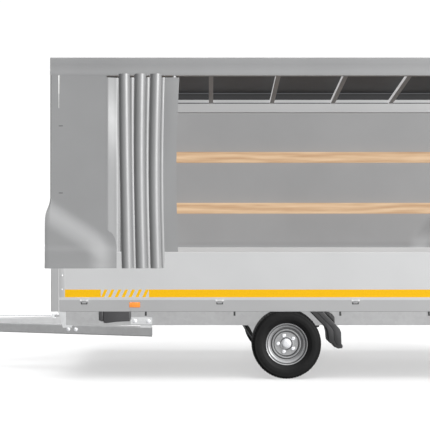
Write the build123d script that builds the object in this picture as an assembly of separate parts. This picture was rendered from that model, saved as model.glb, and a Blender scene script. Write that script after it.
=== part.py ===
"""Curtain-sided flatbed trailer with drop sides, one rubber-sprung axle and a V drawbar.

The bed is an aluminium deck on two steel rails, with hinged boards round it, four corner posts,
a gabled roof frame and a fabric cover whose left side slides forward like a curtain.

Frame: -X is the front (the hitch), +Z is up, and the left side of the trailer is -Y. Inside this
file X is measured from the centre of the bed, which is also the wheel axis; save() moves every
piece so that the origin ends at ground level under the centre of the whole trailer.
"""
from build123d import *

import math
import os

os.makedirs("parts", exist_ok=True)

# ---- Driving dimensions, in millimetres -------------------------------------------------------
BED_HALF = 1555  # half the length of the bed
SIDE = 900  # half the width of the bed
RAIL_BOTTOM = 338  # underside of the chassis rails
RAIL_TOP = 453
DECK_TOP = 533  # top of the deck's edge profile
FLOOR_TOP = 551
BOARD_BOTTOM = 538
BOARD_TOP = 843
BOARD_THICK = 28
LIP = 4  # the lip at a board's foot stands this far out
RAIL_OUT = 620  # outer face of a chassis rail, from the middle
RAIL_WIDE = 50
EDGE_WIDE = 44
POST = 54
EDGE_END = 1500.5  # the deck's edge reaches this far from the middle of the bed
BOARD_END = 1499  # the same for a side board

TARP_BOTTOM = 738
TARP_SPLIT = 846  # below this the cover is a loose skirt outside the boards
VALANCE_BOTTOM = 2005
ROOF_FOOT = 2006  # top of the corner posts
EAVE = 2119
RIDGE = 2192
TARP = 4
SKIRT_OUT = 56  # how far the skirt stands off the cover at the corners
END_FLARE = 34  # the same at the front and rear
FLARE_START = 1207
FLARE_FULL = 1069
FLARE_LENGTH = 434  # length of a corner flare along the side

FOLD_START = -1190
FOLD_X = (-1062, -960, -860)  # middle of each fold of the open curtain that hangs over the board
FOLD_WIDE, FOLD_DEEP = 80, 52
LEAD_END, POLE_X = -729, -745  # free edge of the curtain's leading panel, and the pole behind it

BOW_X = (-975, -500, 0, 500, 975)
BOW_FOOT, BOW_PEAK = 2024, 2133  # underside of a bow at its ends and in the middle
BOW_WIDE = 34
BOW_TALL = 30
MEMBER_X = (-1480, -1145, -720, -290, 290, 720, 1145, 1480)
LATH_Z = (1166, 1584)
LATH_TALL = 88
LATH_END = 1497

TYRE_R = 231
TYRE_WIDE = 195
WHEEL_OUT = 855  # outer face of a tyre, from the middle
RIM_FLANGE_R = 142
BOLT_CIRCLE_R = 56
ARM_X, ARM_Z = -150, 291  # axis of a suspension arm
AXLE_R = 15
RUNNING = 0.05  # radial clearance of a pivot

BEAM_BOTTOM, BEAM_TOP = 256, 322
BEAM_WIDE = 60
BEAM_REAR_X, BEAM_FRONT_X = -908, -2590
BEAM_REAR_Y = 552  # centre line of a beam at its rear end
BEAM_SLOPE = 0.309  # sideways run of a beam for each unit forward
SHAFT_Z, SHAFT_R = 381, 25
SHAFT_FRONT, DAMPER_REAR = -2790, -2262
BALL_X, BALL_Z, BALL_R = -2905, 375, 25
HEAD_R = 40

JOCKEY_X, JOCKEY_Y = -2430, -185
JOCKEY_R = 100
JOCKEY_TRAIL = 30

HINGE_OUT, HINGE_Z, KNUCKLE_R, HINGE_PIN_R = 11, 524, 9, 5
SIDE_HINGES = (-1336, -446, 446, 1336)
REAR_HINGES = (-560, 0, 560)
LATCH_Z, LATCH_PIN_R = 765, 6

CABLE_X, CABLE_Y, CABLE_Z, CABLE_R = -700, 40, 352, 6  # front end of a brake cable
CABLE_END_X = -84  # where a brake cable meets the backplate
LAMP_X = 1540  # rear face of the light bar

FRONT_TIP = BALL_X - HEAD_R
REAR_TIP = BED_HALF + 5 + END_FLARE
BED_X = -(FRONT_TIP + REAR_TIP) / 2


# ---- Helpers ------------------------------------------------------------------------------------
def save(node, *solids):
    """Writes one node as separate solids, moved into the part's own frame."""
    whole = [Pos(BED_X, 0, 0) * s for piece in solids for s in piece.solids()]
    export_step(Compound(children=whole), f"parts/{node}.step")


def block(x0, x1, y0, y1, z0, z1):
    return Pos((x0 + x1) / 2, (y0 + y1) / 2, (z0 + z1) / 2) * Box(x1 - x0, y1 - y0, z1 - z0)


def prism_x(points, x0, x1):
    """Extrudes an outline of (y, z) points from x0 to x1."""
    face = make_face(Polyline([(x0, y, z) for y, z in points], close=True))
    return extrude(face, amount=x1 - x0, dir=(1, 0, 0))


def prism_y(points, y0, y1):
    """Extrudes an outline of (x, z) points from y0 to y1."""
    face = make_face(Polyline([(x, y0, z) for x, z in points], close=True))
    return extrude(face, amount=y1 - y0, dir=(0, 1, 0))


def rod(start, end, radius, bore=0):
    """A round bar or tube from one point to another."""
    a, b = Vector(*start), Vector(*end)
    plane = Plane(origin=(a + b) / 2, z_dir=b - a)
    bar = plane * Cylinder(radius, (b - a).length)
    return bar - plane * Cylinder(bore, (b - a).length + 2) if bore else bar


def spin(points, x=0, z=TYRE_R):
    """Turns an outline of (radius, y) points about an axis along Y through (x, z)."""
    face = make_face(Polyline([(x, y, z + r) for r, y in points], close=True))
    return revolve(face, axis=Axis((x, 0, z), (0, 1, 0)), revolution_arc=360)


def other_side(shape):
    return mirror(shape, about=Plane.XZ)


def bead(shape, edges_along, radius):
    """Rounds the long edges of a profile."""
    return fillet(shape.edges().filter_by(edges_along), radius)


# ---- Chassis and deck ---------------------------------------------------------------------------
def chassis_rail():
    """Left rail: a channel open towards the middle, with a slanted front end."""
    wall, inner = 4, RAIL_OUT - RAIL_WIDE
    section = [
        (-RAIL_OUT, RAIL_BOTTOM), (-inner, RAIL_BOTTOM), (-inner, RAIL_BOTTOM + wall),
        (-RAIL_OUT + wall, RAIL_BOTTOM + wall), (-RAIL_OUT + wall, RAIL_TOP - wall),
        (-inner, RAIL_TOP - wall), (-inner, RAIL_TOP), (-RAIL_OUT, RAIL_TOP),
    ]
    rail = prism_x(section, -BED_HALF, BED_HALF - 57)
    nose = prism_y(
        [(-1600, 500), (-BED_HALF, RAIL_TOP), (-1518, RAIL_BOTTOM), (-1518, 300), (-1600, 300)],
        -700, -500,
    )
    return rail - nose


def cross_member(x, half):
    """A channel across the deck, standing on the rails."""
    wide, wall = 40, 3
    outer = block(x - wide / 2, x + wide / 2, -half, half, RAIL_TOP, DECK_TOP)
    inner = block(x - wide / 2 + wall, x + wide, -half, half, RAIL_TOP + wall, DECK_TOP - wall)
    return outer - inner


def deck_edge():
    """Left edge profile of the deck, a closed box with a groove under the board."""
    inner = SIDE - EDGE_WIDE
    outer = prism_x(
        [(-SIDE, RAIL_TOP), (-inner, RAIL_TOP), (-inner, DECK_TOP), (-SIDE, DECK_TOP)],
        -EDGE_END, EDGE_END,
    )
    outer = bead(outer, Axis.X, 3)
    return outer - block(-1600, 1600, -SIDE + 3.5, -inner - 3.5, RAIL_TOP + 3.5, DECK_TOP - 3.5)


def deck_end(sign):
    """Front (-1) or rear (+1) edge profile, between the corner posts."""
    half = SIDE - POST
    x0, x1 = sorted((sign * BED_HALF, sign * (BED_HALF - 40)))
    return block(x0, x1, -half, half, RAIL_TOP, DECK_TOP) - block(
        x0 + 3.5, x1 - 3.5, -half, half, RAIL_TOP + 3.5, DECK_TOP - 3.5
    )


def floor_board():
    """Plywood floor, notched round the four posts."""
    inner, end = SIDE - POST - 2, BED_HALF - BOARD_THICK - 2
    long_piece = block(-LATH_END, LATH_END, -SIDE + 31, SIDE - 31, DECK_TOP, FLOOR_TOP)
    return long_piece + block(-end, end, -inner, inner, DECK_TOP, FLOOR_TOP)


def corner_post(sign):
    """Left front (-1) or rear (+1) post with the pin that its latch turns on."""
    x0, x1 = sorted((sign * BED_HALF, sign * (BED_HALF - POST)))
    y0, y1 = -SIDE, -SIDE + POST
    top = ROOF_FOOT
    tube = block(x0, x1, y0, y1, RAIL_TOP, top)
    tube = bead(tube, Axis.Z, 5)
    return tube - block(x0 + 3, x1 - 3, y0 + 3, y1 - 3, RAIL_TOP, top)


def latch_pin():
    """Pin and washer of a latch, with the latch's pivot at the origin and -Y outwards."""
    pin = rod((0, 0, 0), (0, -16, 0), LATCH_PIN_R)
    return pin + rod((0, -13, 0), (0, -16, 0), 10)


def latch_handle():
    """Flat handle on its pin, pointing up in the released position."""
    arm = prism_y([(-12, 0), (12, 0), (9, 62), (-9, 62)], -12, -6)
    arm += rod((0, -12, 0), (0, -6, 0), 13) + rod((0, -12, 62), (0, -6, 62), 9)
    return arm - rod((0, -20, 0), (0, 0, 0), LATCH_PIN_R + RUNNING)


def place_latch(piece, corner):
    """Moves a latch piece to one of the six places: side or rear face of a corner post."""
    side, end, face = corner
    if face == "side":
        turned = piece if side < 0 else Rot(0, 0, 180) * piece
        return Pos(end * (BED_HALF - POST / 2), side * SIDE, LATCH_Z) * turned
    return Pos(BED_HALF, side * (SIDE - POST / 2), LATCH_Z) * Rot(0, 0, 90) * piece


LATCHES = {
    "latch_left_front": (-1, -1, "side"),
    "latch_left_rear": (-1, 1, "side"),
    "latch_right_front": (1, -1, "side"),
    "latch_right_rear": (1, 1, "side"),
    "latch_rear_left": (-1, 1, "rear"),
    "latch_rear_right": (1, 1, "rear"),
}


# ---- Drop boards and their hinges ---------------------------------------------------------------
def board(half, bottom=BOARD_BOTTOM):
    """A hollow board standing at y 0 to +thickness, centred on x, with a lip and closed ends."""
    skin, webs = 2, 4
    body = block(-half, half, 0, BOARD_THICK, bottom, BOARD_TOP)
    body = bead(body, Axis.X, 2)
    pitch = (BOARD_TOP - bottom - skin) / webs
    for i in range(webs):
        z = bottom + skin + i * pitch
        body -= block(-half + 30, half - 30, skin, BOARD_THICK - skin, z, z + pitch - skin)
    return body + block(-half, half, -LIP, 1, bottom, bottom + 9)


def drop_board(half):
    """A hinged board, whose lip also covers the gap to the deck."""
    return board(half) + block(-half, half, -LIP, -0.5, BOARD_BOTTOM - 8, BOARD_BOTTOM + 1)


def hinge_leaf(u):
    """Moving leaf: two knuckles and a strap on the board. The board's outer face is y = 0."""
    leaf = block(u - 27, u + 27, -9, -4.2, 533.5, 545)
    for a, b in ((u - 27, u - 15), (u + 15, u + 27)):
        leaf += rod((a, -HINGE_OUT, HINGE_Z), (b, -HINGE_OUT, HINGE_Z), KNUCKLE_R)
        leaf += block(a, b, -HINGE_OUT, -4.2, HINGE_Z, 540)
    ends = ((u - 40, -HINGE_OUT, HINGE_Z), (u + 40, -HINGE_OUT, HINGE_Z))
    return leaf - rod(*ends, HINGE_PIN_R + RUNNING)


def hinge_lug(u):
    """Fixed lug and pin on the deck's edge."""
    lug = rod((u - 14, -HINGE_OUT, HINGE_Z), (u + 14, -HINGE_OUT, HINGE_Z), KNUCKLE_R)
    lug += block(u - 14, u + 14, -HINGE_OUT, 0, HINGE_Z - 16, HINGE_Z)
    ends = ((u - 28, -HINGE_OUT, HINGE_Z), (u + 28, -HINGE_OUT, HINGE_Z))
    return lug + rod(*ends, HINGE_PIN_R)


def to_left(piece):
    return Pos(0, -SIDE, 0) * piece


def to_rear(piece):
    return Pos(BED_HALF, 0, 0) * Rot(0, 0, 90) * piece


# ---- Running gear (left side) -------------------------------------------------------------------
def axle_tube():
    """Square torsion tube with bored ends and a bracket plate to each rail."""
    half, size = 600, 40
    tube = block(ARM_X - size, ARM_X + size, -half, half, ARM_Z - size, ARM_Z + size)
    tube = bead(tube, Axis.Y, 6)
    tube -= block(ARM_X - size + 5, ARM_X + size - 5, -470, 470, ARM_Z - size + 5, ARM_Z + size - 5)
    for side in (-1, 1):
        tube -= rod((ARM_X, side * 470, ARM_Z), (ARM_X, side * 601, ARM_Z), 20 + RUNNING)
        y0, y1 = sorted((side * 600, side * 590))
        plate = prism_y([(-246, RAIL_BOTTOM), (-54, RAIL_BOTTOM), (-100, 251), (-200, 251)], y0, y1)
        y0, y1 = sorted((side * 618, side * 572))
        plate += block(-246, -54, y0, y1, 330.9, RAIL_BOTTOM)
        plate -= rod((ARM_X, side * 560, ARM_Z), (ARM_X, side * 620, ARM_Z), 30)
        tube += plate
    return tube


def swing_arm():
    """Left arm: torsion shaft, arm, brake backplate and wheel spindle."""
    pivot, hub = (ARM_X, ARM_Z), (0, TYRE_R)
    along = math.atan2(hub[1] - pivot[1], hub[0] - pivot[0])
    nx, nz = -math.sin(along), math.cos(along)
    outline = [
        (pivot[0] + 34 * nx, pivot[1] + 34 * nz), (hub[0] + 28 * nx, hub[1] + 28 * nz),
        (hub[0] - 28 * nx, hub[1] - 28 * nz), (pivot[0] - 34 * nx, pivot[1] - 34 * nz),
    ]
    arm = prism_y(outline, -634, -606)
    arm += rod((pivot[0], -634, pivot[1]), (pivot[0], -606, pivot[1]), 34)
    arm += rod((hub[0], -634, hub[1]), (hub[0], -606, hub[1]), 28)
    arm += rod((pivot[0], -607, pivot[1]), (pivot[0], -475, pivot[1]), 20)
    arm += rod((0, -634, TYRE_R), (0, -640, TYRE_R), 96)
    arm += block(CABLE_END_X, CABLE_END_X + 16, -635, -612, 183, 207)
    return arm + rod((0, -630, TYRE_R), (0, -780, TYRE_R), AXLE_R)


def brake_shoes():
    """Pair of brake shoes that stand on the left backplate inside the drum."""
    ring = rod((0, -640, TYRE_R), (0, -700, TYRE_R), 86, bore=62)
    return ring - block(-100, 100, -710, -630, TYRE_R - 14, TYRE_R + 14)


def hub():
    """Left brake drum and hub in one casting, with its grease cap."""
    drum = spin([(40, -644), (40, -712), (88, -712), (88, -644), (99, -644), (99, -720),
                 (45, -724), (45, -774), (72, -774), (72, -786), (32, -786), (32, -812),
                 (28, -818), (0, -819), (0, -783), (AXLE_R + RUNNING, -783),
                 (AXLE_R + RUNNING, -644)])
    return drum


def wheel_bolts():
    """Five cone-seat bolts, one fifth of a turn apart."""
    bolts = []
    for i in range(5):
        a = math.radians(36 + 72 * i)
        x, z = BOLT_CIRCLE_R * math.cos(a), TYRE_R + BOLT_CIRCLE_R * math.sin(a)
        head = rod((x, -790, z), (x, -806, z), 9.5) - rod((x, -801, z), (x, -807, z), 5)
        bolts.append(head + rod((x, -786, z), (x, -791, z), 6.5))
    return bolts


def rim():
    """Left rim: drop-centre barrel with a dished disc."""
    barrel = spin([
        (RIM_FLANGE_R, -836), (RIM_FLANGE_R, -832), (128, -829), (127, -800), (110, -792),
        (108, -745), (111, -728), (127, -714), (128, -685), (RIM_FLANGE_R, -682),
        (RIM_FLANGE_R, -678), (124, -681), (123, -711), (107, -724), (104, -745),
        (105, -780), (98, -798), (92, -799), (84, -787), (78, -786), (33.3, -786),
        (33.3, -790), (79, -790), (84, -792), (90, -803), (99, -803), (107, -795),
        (123, -804), (124, -833),
    ])
    for i in range(5):
        a = math.radians(36 + 72 * i)
        x, z = BOLT_CIRCLE_R * math.cos(a), TYRE_R + BOLT_CIRCLE_R * math.sin(a)
        barrel -= rod((x, -780, z), (x, -800, z), 7)
    return barrel


def tyre():
    """Left tyre: a hollow carcass whose beads sit inside the rim's flanges."""
    mid = WHEEL_OUT - TYRE_WIDE / 2
    outer = [(128.3, 70.5), (142.6, 71.5), (144, 81), (165, 94), (190, 97.5), (212, 91.5),
             (225, 80), (TYRE_R, 64)]
    inner = [(221, 62), (214, 80), (190, 88), (160, 83), (140, 62), (128.3, 60)]
    ring = [(r, -mid - w) for r, w in outer] + [(r, -mid + w) for r, w in reversed(outer)]
    ring += [(r, -mid + w) for r, w in reversed(inner)] + [(r, -mid - w) for r, w in inner]
    return spin(ring)


def mudguard():
    """Left quarter mudguard behind the wheel: an outer lip, a tread cover and a stepped foot."""
    inner = [(156, 447), (265, 336), (274, 308), (279, 252), (288, 238), (310, 234),
             (314, 215), (339, 204)]
    outer = [(370, 206), (372, 224), (362, 238), (360, 313), (349, 338), (321, 368),
             (321, 416), (307, 434), (270, 449), (239, 449)]
    shell = prism_y(inner + outer, -857, -652)
    hollow = [(x - 4, z - 4) for x, z in outer[2:6]] + [(300, 412), (262, 440), (228, 445)]
    hollow += [(120, 440), (220, 330), (240, 260), (250, 200), (330, 190), (352, 208)]
    return shell - prism_y(hollow, -853, -640)


# ---- Drawbar, coupling, brake and jockey wheel --------------------------------------------------
def beam_y(x):
    """Distance of a beam's centre line from the middle, at x."""
    return BEAM_REAR_Y - BEAM_SLOPE * (BEAM_REAR_X - x)


def drawbar_beam(wall=4):
    """Left beam: a square tube from under the rail to the nose, with both ends cut square."""
    over = 60
    start = Vector(BEAM_REAR_X + over, -beam_y(BEAM_REAR_X + over), (BEAM_BOTTOM + BEAM_TOP) / 2)
    end = Vector(BEAM_FRONT_X - over, -beam_y(BEAM_FRONT_X - over), start.Z)
    run = end - start
    plane = Plane(origin=start, x_dir=(-run.Y, run.X, 0), z_dir=run)
    tall = BEAM_TOP - BEAM_BOTTOM
    section = RectangleRounded(BEAM_WIDE, tall, 8)
    if wall:
        section -= RectangleRounded(BEAM_WIDE - 2 * wall, tall - 2 * wall, 4)
    tube = extrude(plane * section, amount=run.length)
    return tube & block(BEAM_FRONT_X, BEAM_REAR_X, -700, -0.2, 200, 400)


def drawbar_brackets():
    """Bar across the front, gusset on each rail, and a spacer over each beam's rear end."""
    bar = block(-1514, -1468, -RAIL_OUT, RAIL_OUT, BEAM_TOP, RAIL_BOTTOM)
    gusset = prism_y(
        [(-1554, 452), (-1496, 452), (-1494, RAIL_BOTTOM), (-1452, RAIL_BOTTOM), (-1452, BEAM_TOP),
         (-1514, BEAM_TOP)],
        -RAIL_OUT - 4, -RAIL_OUT,
    )
    spacer = block(-985, BEAM_REAR_X, -RAIL_OUT, -520, BEAM_TOP, RAIL_BOTTOM)
    plate = prism_y([(-1050, 345), (-905, 345), (-905, 392), (-1050, 392)], -RAIL_OUT - 5, -RAIL_OUT)
    return [bar] + [p for s in (gusset, spacer, plate) for p in (s, other_side(s))]


def bolt_head(x, y, z, slope=0.0):
    """A hexagon head and washer whose axis points outwards to the left."""
    out = Vector(-slope, -1, 0).normalized()
    plane = Plane(origin=(x, y, z), z_dir=out)
    washer = extrude(plane * Circle(13), amount=2)
    return washer + extrude(plane.offset(2) * RegularPolygon(10.5, 6), amount=7)


def drawbar_bolts():
    """Two bolts through each rail and two through each beam."""
    heads = [bolt_head(x, -RAIL_OUT - 5, 366) for x in (-1024, -932)]
    for x in (-1507, -1453):
        y = beam_y(x) + BEAM_WIDE / 2 * math.hypot(1, BEAM_SLOPE)
        heads.append(bolt_head(x, -y, 290, BEAM_SLOPE))
    return heads + [other_side(h) for h in heads]


def overrun_housing():
    """Cast housing on a nose plate, bored for the sliding shaft."""
    plate = prism_y([(-2600, BEAM_TOP), (-2260, BEAM_TOP), (-2260, 330), (-2600, 330)], -110, 110)
    body = block(-2610, -2300, -48, 48, 330, 432)
    body = bead(body, Axis.X, 14)
    for x in (-2600, -2470, -2330):
        body += block(x - 8, x + 8, -54, 54, 330, 436)
    return plate + body - shaft_part(-2700, -2200, SHAFT_R + RUNNING)


def shaft_part(x0, x1, radius, bore=0):
    """A bar or tube on the coupling's sliding axis."""
    return rod((x0, 0, SHAFT_Z), (x1, 0, SHAFT_Z), radius, bore)


def coupling_shaft():
    """Sliding tube, plugged at its front end, with the damper's piston rod inside."""
    tube = shaft_part(SHAFT_FRONT, -2365, SHAFT_R, bore=17)
    return tube + shaft_part(SHAFT_FRONT, SHAFT_FRONT + 20, 17.5) + shaft_part(SHAFT_FRONT, -2600, 6)


def overrun_damper():
    """Damper cylinder inside the shaft, with a bore for the rod, on a bracket behind the housing."""
    cylinder = shaft_part(-2660, DAMPER_REAR, 14) - shaft_part(-2661, -2510, 6 + RUNNING)
    return cylinder + block(DAMPER_REAR - 10, DAMPER_REAR, -30, 30, 330, SHAFT_Z + 20)


def bellows():
    """Rubber gaiter round the shaft, with seven folds."""
    folds, x0, x1, low, high = 7, -2738, -2612, 27, 40
    pitch = (x1 - x0) / folds
    outline = []
    for i in range(folds):
        outline += [(x0 + i * pitch, low + 5), (x0 + (i + 0.5) * pitch, high)]
    outline += [(x1, low + 5), (x1, low), (x0, low)]
    face = make_face(Polyline([(x, 0, SHAFT_Z + r) for x, r in outline], close=True))
    return revolve(face, axis=Axis((0, 0, SHAFT_Z), (1, 0, 0)), revolution_arc=360)


def coupling_head():
    """Ball coupling, with a socket open downwards, lugs for its handle and a sleeve for the shaft."""
    head = Pos(BALL_X, 0, 388) * Cylinder(HEAD_R, 68)
    head += block(BALL_X, -2740, -33, 33, 354, 422)
    head = fillet(head.edges().filter_by(Axis.X), 8)
    head += block(-2862, -2838, 14, 21, 415, 446) + block(-2862, -2838, -21, -14, 415, 446)
    head -= Pos(BALL_X, 0, BALL_Z) * Sphere(BALL_R + 0.2)
    head -= Pos(BALL_X, 0, BALL_Z - 20) * Cylinder(BALL_R + 0.2, 40)
    head -= shaft_part(SHAFT_FRONT, -2700, SHAFT_R)
    return head + rod((-2850, -24, 436), (-2850, 24, 436), 5)


def coupling_lever():
    """Release handle of the coupling."""
    lever = prism_y([(-2860, 427), (-2860, 446), (-2770, 472), (-2690, 480), (-2690, 466),
                     (-2760, 456), (-2838, 427)], -12, 12)
    grip = bead(block(-2740, -2672, -16, 16, 464, 484), Axis.X, 8)
    return lever + grip - rod((-2850, -30, 436), (-2850, 30, 436), 5 + RUNNING)


def handbrake():
    """Hand lever on the right of the housing, with a short arm below its pivot for the rod."""
    y0, y1 = 56, 64
    lever = prism_y([(-2412, 345), (-2388, 345), (-2384, 406), (-2400, 424), (-2640, 470),
                     (-2640, 452), (-2414, 398)], y0, y1)
    lever += rod((-2630, 60, 459), (-2760, 60, 482), 14)
    return lever - rod((-2400, 50, 404), (-2400, 70, 404), 8 + RUNNING)


def handbrake_pin():
    return rod((-2400, 48, 404), (-2400, 66, 404), 8) + rod((-2400, 66, 404), (-2400, 70, 404), 13)


def brake_rod():
    """Pull rod with a clevis at the lever, and the equaliser bar with both inner wires."""
    y = 73
    bar = rod((-2380, y, CABLE_Z), (-800, y, CABLE_Z), 5)
    clevis = block(-2412, -2372, y - 7, y + 7, CABLE_Z - 10, CABLE_Z + 10)
    equaliser = block(-812, -788, -CABLE_Y - 12, y + 12, CABLE_Z - 9, CABLE_Z + 9)
    bar += clevis + equaliser
    for side in (-1, 1):
        bar += rod((-790, side * CABLE_Y, CABLE_Z), (CABLE_X, side * CABLE_Y, CABLE_Z), 2.5)
    return bar


def cable_bracket():
    """Plate below a cross member that holds the front ends of the two cables."""
    plate = block(CABLE_X - 4, CABLE_X, -70, 70, CABLE_Z - 18, RAIL_TOP)
    for side in (-1, 1):
        y = side * CABLE_Y
        plate -= rod((CABLE_X - 10, y, CABLE_Z), (CABLE_X + 10, y, CABLE_Z), 4)
    return plate


def cable_arcs(route):
    """Largest radius for each bend that leaves a little of both its runs straight."""
    radii = []
    for a, b, c in zip(route, route[1:], route[2:]):
        before, after = Vector(*b) - Vector(*a), Vector(*c) - Vector(*b)
        half_turn = math.radians(before.get_angle(after)) / 2
        radii.append(0.45 * min(before.length, after.length) / math.tan(half_turn))
    return radii


def brake_cable():
    """Left brake cable: from the bracket, over and behind the axle tube's end, to the backplate."""
    route = [
        (CABLE_X, -CABLE_Y, CABLE_Z), (-640, -CABLE_Y, CABLE_Z), (-572, -84, 360), (-500, -190, 374),
        (-425, -310, 380), (-360, -420, 378), (-312, -496, 366), (-280, -542, 336),
        (-255, -566, 288), (-222, -584, 246), (-178, -602, 216), (-132, -615, 200),
        (CABLE_END_X - 2, -624, 195),
    ]
    path = FilletPolyline(*route, radius=cable_arcs(route))
    return sweep(Plane(origin=path @ 0, z_dir=path % 0) * Circle(CABLE_R), path=path)


def jockey_clamp():
    """Split clamp on an arm from the side of the housing, with its tommy bar."""
    z0, z1 = 352, 408
    ring = rod((JOCKEY_X, JOCKEY_Y, z0), (JOCKEY_X, JOCKEY_Y, z1), 43)
    ring += block(JOCKEY_X - 30, JOCKEY_X + 30, JOCKEY_Y + 20, -48, z0, z1)
    ring -= rod((JOCKEY_X, JOCKEY_Y, 340), (JOCKEY_X, JOCKEY_Y, 420), 30)
    screw_y, mid = JOCKEY_Y - 20, (z0 + z1) / 2
    screw = rod((JOCKEY_X - 42, screw_y, mid), (JOCKEY_X - 80, screw_y, mid), 8)
    bar = rod((JOCKEY_X - 74, screw_y, mid - 50), (JOCKEY_X - 74, screw_y, mid + 50), 5)
    return ring, screw + bar


def jockey_outer_tube():
    tube = rod((JOCKEY_X, JOCKEY_Y, 345), (JOCKEY_X, JOCKEY_Y, 700), 30, bore=27)
    cap = rod((JOCKEY_X, JOCKEY_Y, 694), (JOCKEY_X, JOCKEY_Y, 708), 32)
    return tube + cap - rod((JOCKEY_X, JOCKEY_Y, 690), (JOCKEY_X, JOCKEY_Y, 710), 8 + RUNNING)


def jockey_inner_tube():
    """Sliding tube with a nut at its top and a plug for the fork's pin."""
    tube = rod((JOCKEY_X, JOCKEY_Y, 217), (JOCKEY_X, JOCKEY_Y, 560), 27 - RUNNING, bore=22)
    plug = rod((JOCKEY_X, JOCKEY_Y, 217), (JOCKEY_X, JOCKEY_Y, 250), 22)
    plug -= rod((JOCKEY_X, JOCKEY_Y, 216), (JOCKEY_X, JOCKEY_Y, 240), 12 + RUNNING)
    nut = rod((JOCKEY_X, JOCKEY_Y, 535), (JOCKEY_X, JOCKEY_Y, 560), 22, bore=8.6)
    return tube + plug + nut


def jockey_fork():
    """Swivelling fork with its pin and the wheel's axle, set back from the swivel."""
    x = JOCKEY_X + JOCKEY_TRAIL
    fork = rod((JOCKEY_X, JOCKEY_Y, 216), (JOCKEY_X, JOCKEY_Y, 238), 12)
    fork += block(JOCKEY_X - 24, x + 18, JOCKEY_Y - 35, JOCKEY_Y + 35, 206, 216.5)
    for y0, y1 in ((-35, -29), (29, 35)):
        fork += prism_y([(JOCKEY_X - 16, 216), (x + 16, 216), (x + 14, 88), (x - 14, 88)],
                        JOCKEY_Y + y0, JOCKEY_Y + y1)
    return fork + rod((x, JOCKEY_Y - 40, JOCKEY_R), (x, JOCKEY_Y + 40, JOCKEY_R), 8)


def jockey_wheel():
    """Solid rubber tyre on a plastic centre, drawn as one piece."""
    y = JOCKEY_Y
    outline = [(8 + RUNNING, y - 27), (22, y - 27), (24, y - 8), (66, y - 8), (70, y - 20),
               (88, y - 25), (97, y - 19), (JOCKEY_R, y - 8)]
    mirrored = [(r, 2 * y - v) for r, v in reversed(outline)]
    return spin(outline + mirrored, x=JOCKEY_X + JOCKEY_TRAIL, z=JOCKEY_R)


def jockey_crank():
    """Screw, crank arm and grip."""
    screw = rod((JOCKEY_X, JOCKEY_Y, 390), (JOCKEY_X, JOCKEY_Y, 740), 8)
    arm = bead(block(JOCKEY_X - 14, JOCKEY_X + 124, JOCKEY_Y - 11, JOCKEY_Y + 11, 728, 740), Axis.Z, 8)
    grip = rod((JOCKEY_X + 110, JOCKEY_Y, 739), (JOCKEY_X + 110, JOCKEY_Y, 830), 13)
    return screw + arm + grip


# ---- Roof frame, laths and cover ----------------------------------------------------------------
def roof_rail(low):
    """Left roof rail: an upright profile on a wider foot. low is the underside of the foot."""
    inner, ledge = SIDE - BOARD_THICK, SIDE - 48
    section = [
        (-SIDE, ROOF_FOOT), (-ledge, ROOF_FOOT), (-ledge, BOW_FOOT), (-inner, BOW_FOOT),
        (-inner, EAVE), (-SIDE, EAVE),
    ]
    rail = prism_x(section, -BED_HALF, BED_HALF)
    rail -= block(-1600, 1600, -SIDE + 4, -inner - 4, BOW_FOOT + 4, EAVE - 4)
    if low < ROOF_FOOT:
        foot = block(-1500, 1500, -SIDE, -ledge, low, ROOF_FOOT)
        rail += foot - block(-1501, 1501, -SIDE + 3, -ledge - 3, low + 3, ROOF_FOOT - 3)
    return rail


def roof_end(sign):
    """Front or rear roof rail, between the side rails."""
    x0, x1 = sorted((sign * BED_HALF, sign * (BED_HALF - BOARD_THICK)))
    half = SIDE - 48
    beam = block(x0, x1, -half, half, ROOF_FOOT, EAVE)
    return beam - block(x0 + 3, x1 - 3, -half, half, ROOF_FOOT + 4, EAVE - 4)


def roof_bow(x):
    """A gabled bow that stands on the feet of the two side rails."""
    foot, low, peak = SIDE - BOARD_THICK, BOW_FOOT, BOW_PEAK
    outline = [(-foot, low), (0, peak), (foot, low), (foot, low + BOW_TALL), (0, peak + BOW_TALL),
               (-foot, low + BOW_TALL)]
    wall = 2.5
    core = [(-foot, low + wall), (0, peak + wall), (foot, low + wall), (foot, low + BOW_TALL - wall),
            (0, peak + BOW_TALL - wall), (-foot, low + BOW_TALL - wall)]
    half = BOW_WIDE / 2
    return prism_x(outline, x - half, x + half) - prism_x(core, x - half + wall, x + half - wall)


def gable(wide, lift=0.0):
    """Outline of the roof from eave to eave at a half width, as (y, z) points."""
    eave = EAVE + TARP + 2 + lift
    return [(-wide, eave), (0, RIDGE + lift), (wide, eave)]


def roof_cover():
    out = SIDE + 2 * TARP
    inner = [(-out + TARP, VALANCE_BOTTOM)] + gable(out - TARP, -TARP) + [(out - TARP, VALANCE_BOTTOM)]
    outer = [(out, VALANCE_BOTTOM)] + gable(out)[::-1] + [(-out, VALANCE_BOTTOM)]
    return prism_x(inner + outer, -BED_HALF - 5, BED_HALF + 5)


def end_wall(bottom):
    """Front cover: a gabled sheet that steps outwards above the boards."""
    x = -BED_HALF - 5
    step = [(x, 1300), (x, FLARE_START), (x - END_FLARE, FLARE_FULL), (x - END_FLARE, bottom),
            (x - END_FLARE + TARP, bottom), (x - END_FLARE + TARP, FLARE_FULL), (x + TARP, FLARE_START),
            (x + TARP, 1300)]
    out = SIDE + TARP
    sheet = prism_x([(-out, 1300)] + gable(out, -TARP - 0.5) + [(out, 1300)], x, x + TARP)
    return sheet + prism_y(step, -out, out)


def corner_wedge(sign):
    """Upper part of a left corner flare, as a plain block below a sloped top."""
    x0 = sign * (BED_HALF + 5)
    x1 = sign * (BED_HALF - FLARE_LENGTH + 120)
    outline = [(x0, TARP_SPLIT), (x0, FLARE_FULL), (x1, TARP_SPLIT)]
    return prism_y(outline, -SIDE - SKIRT_OUT, -SIDE - TARP)


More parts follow.
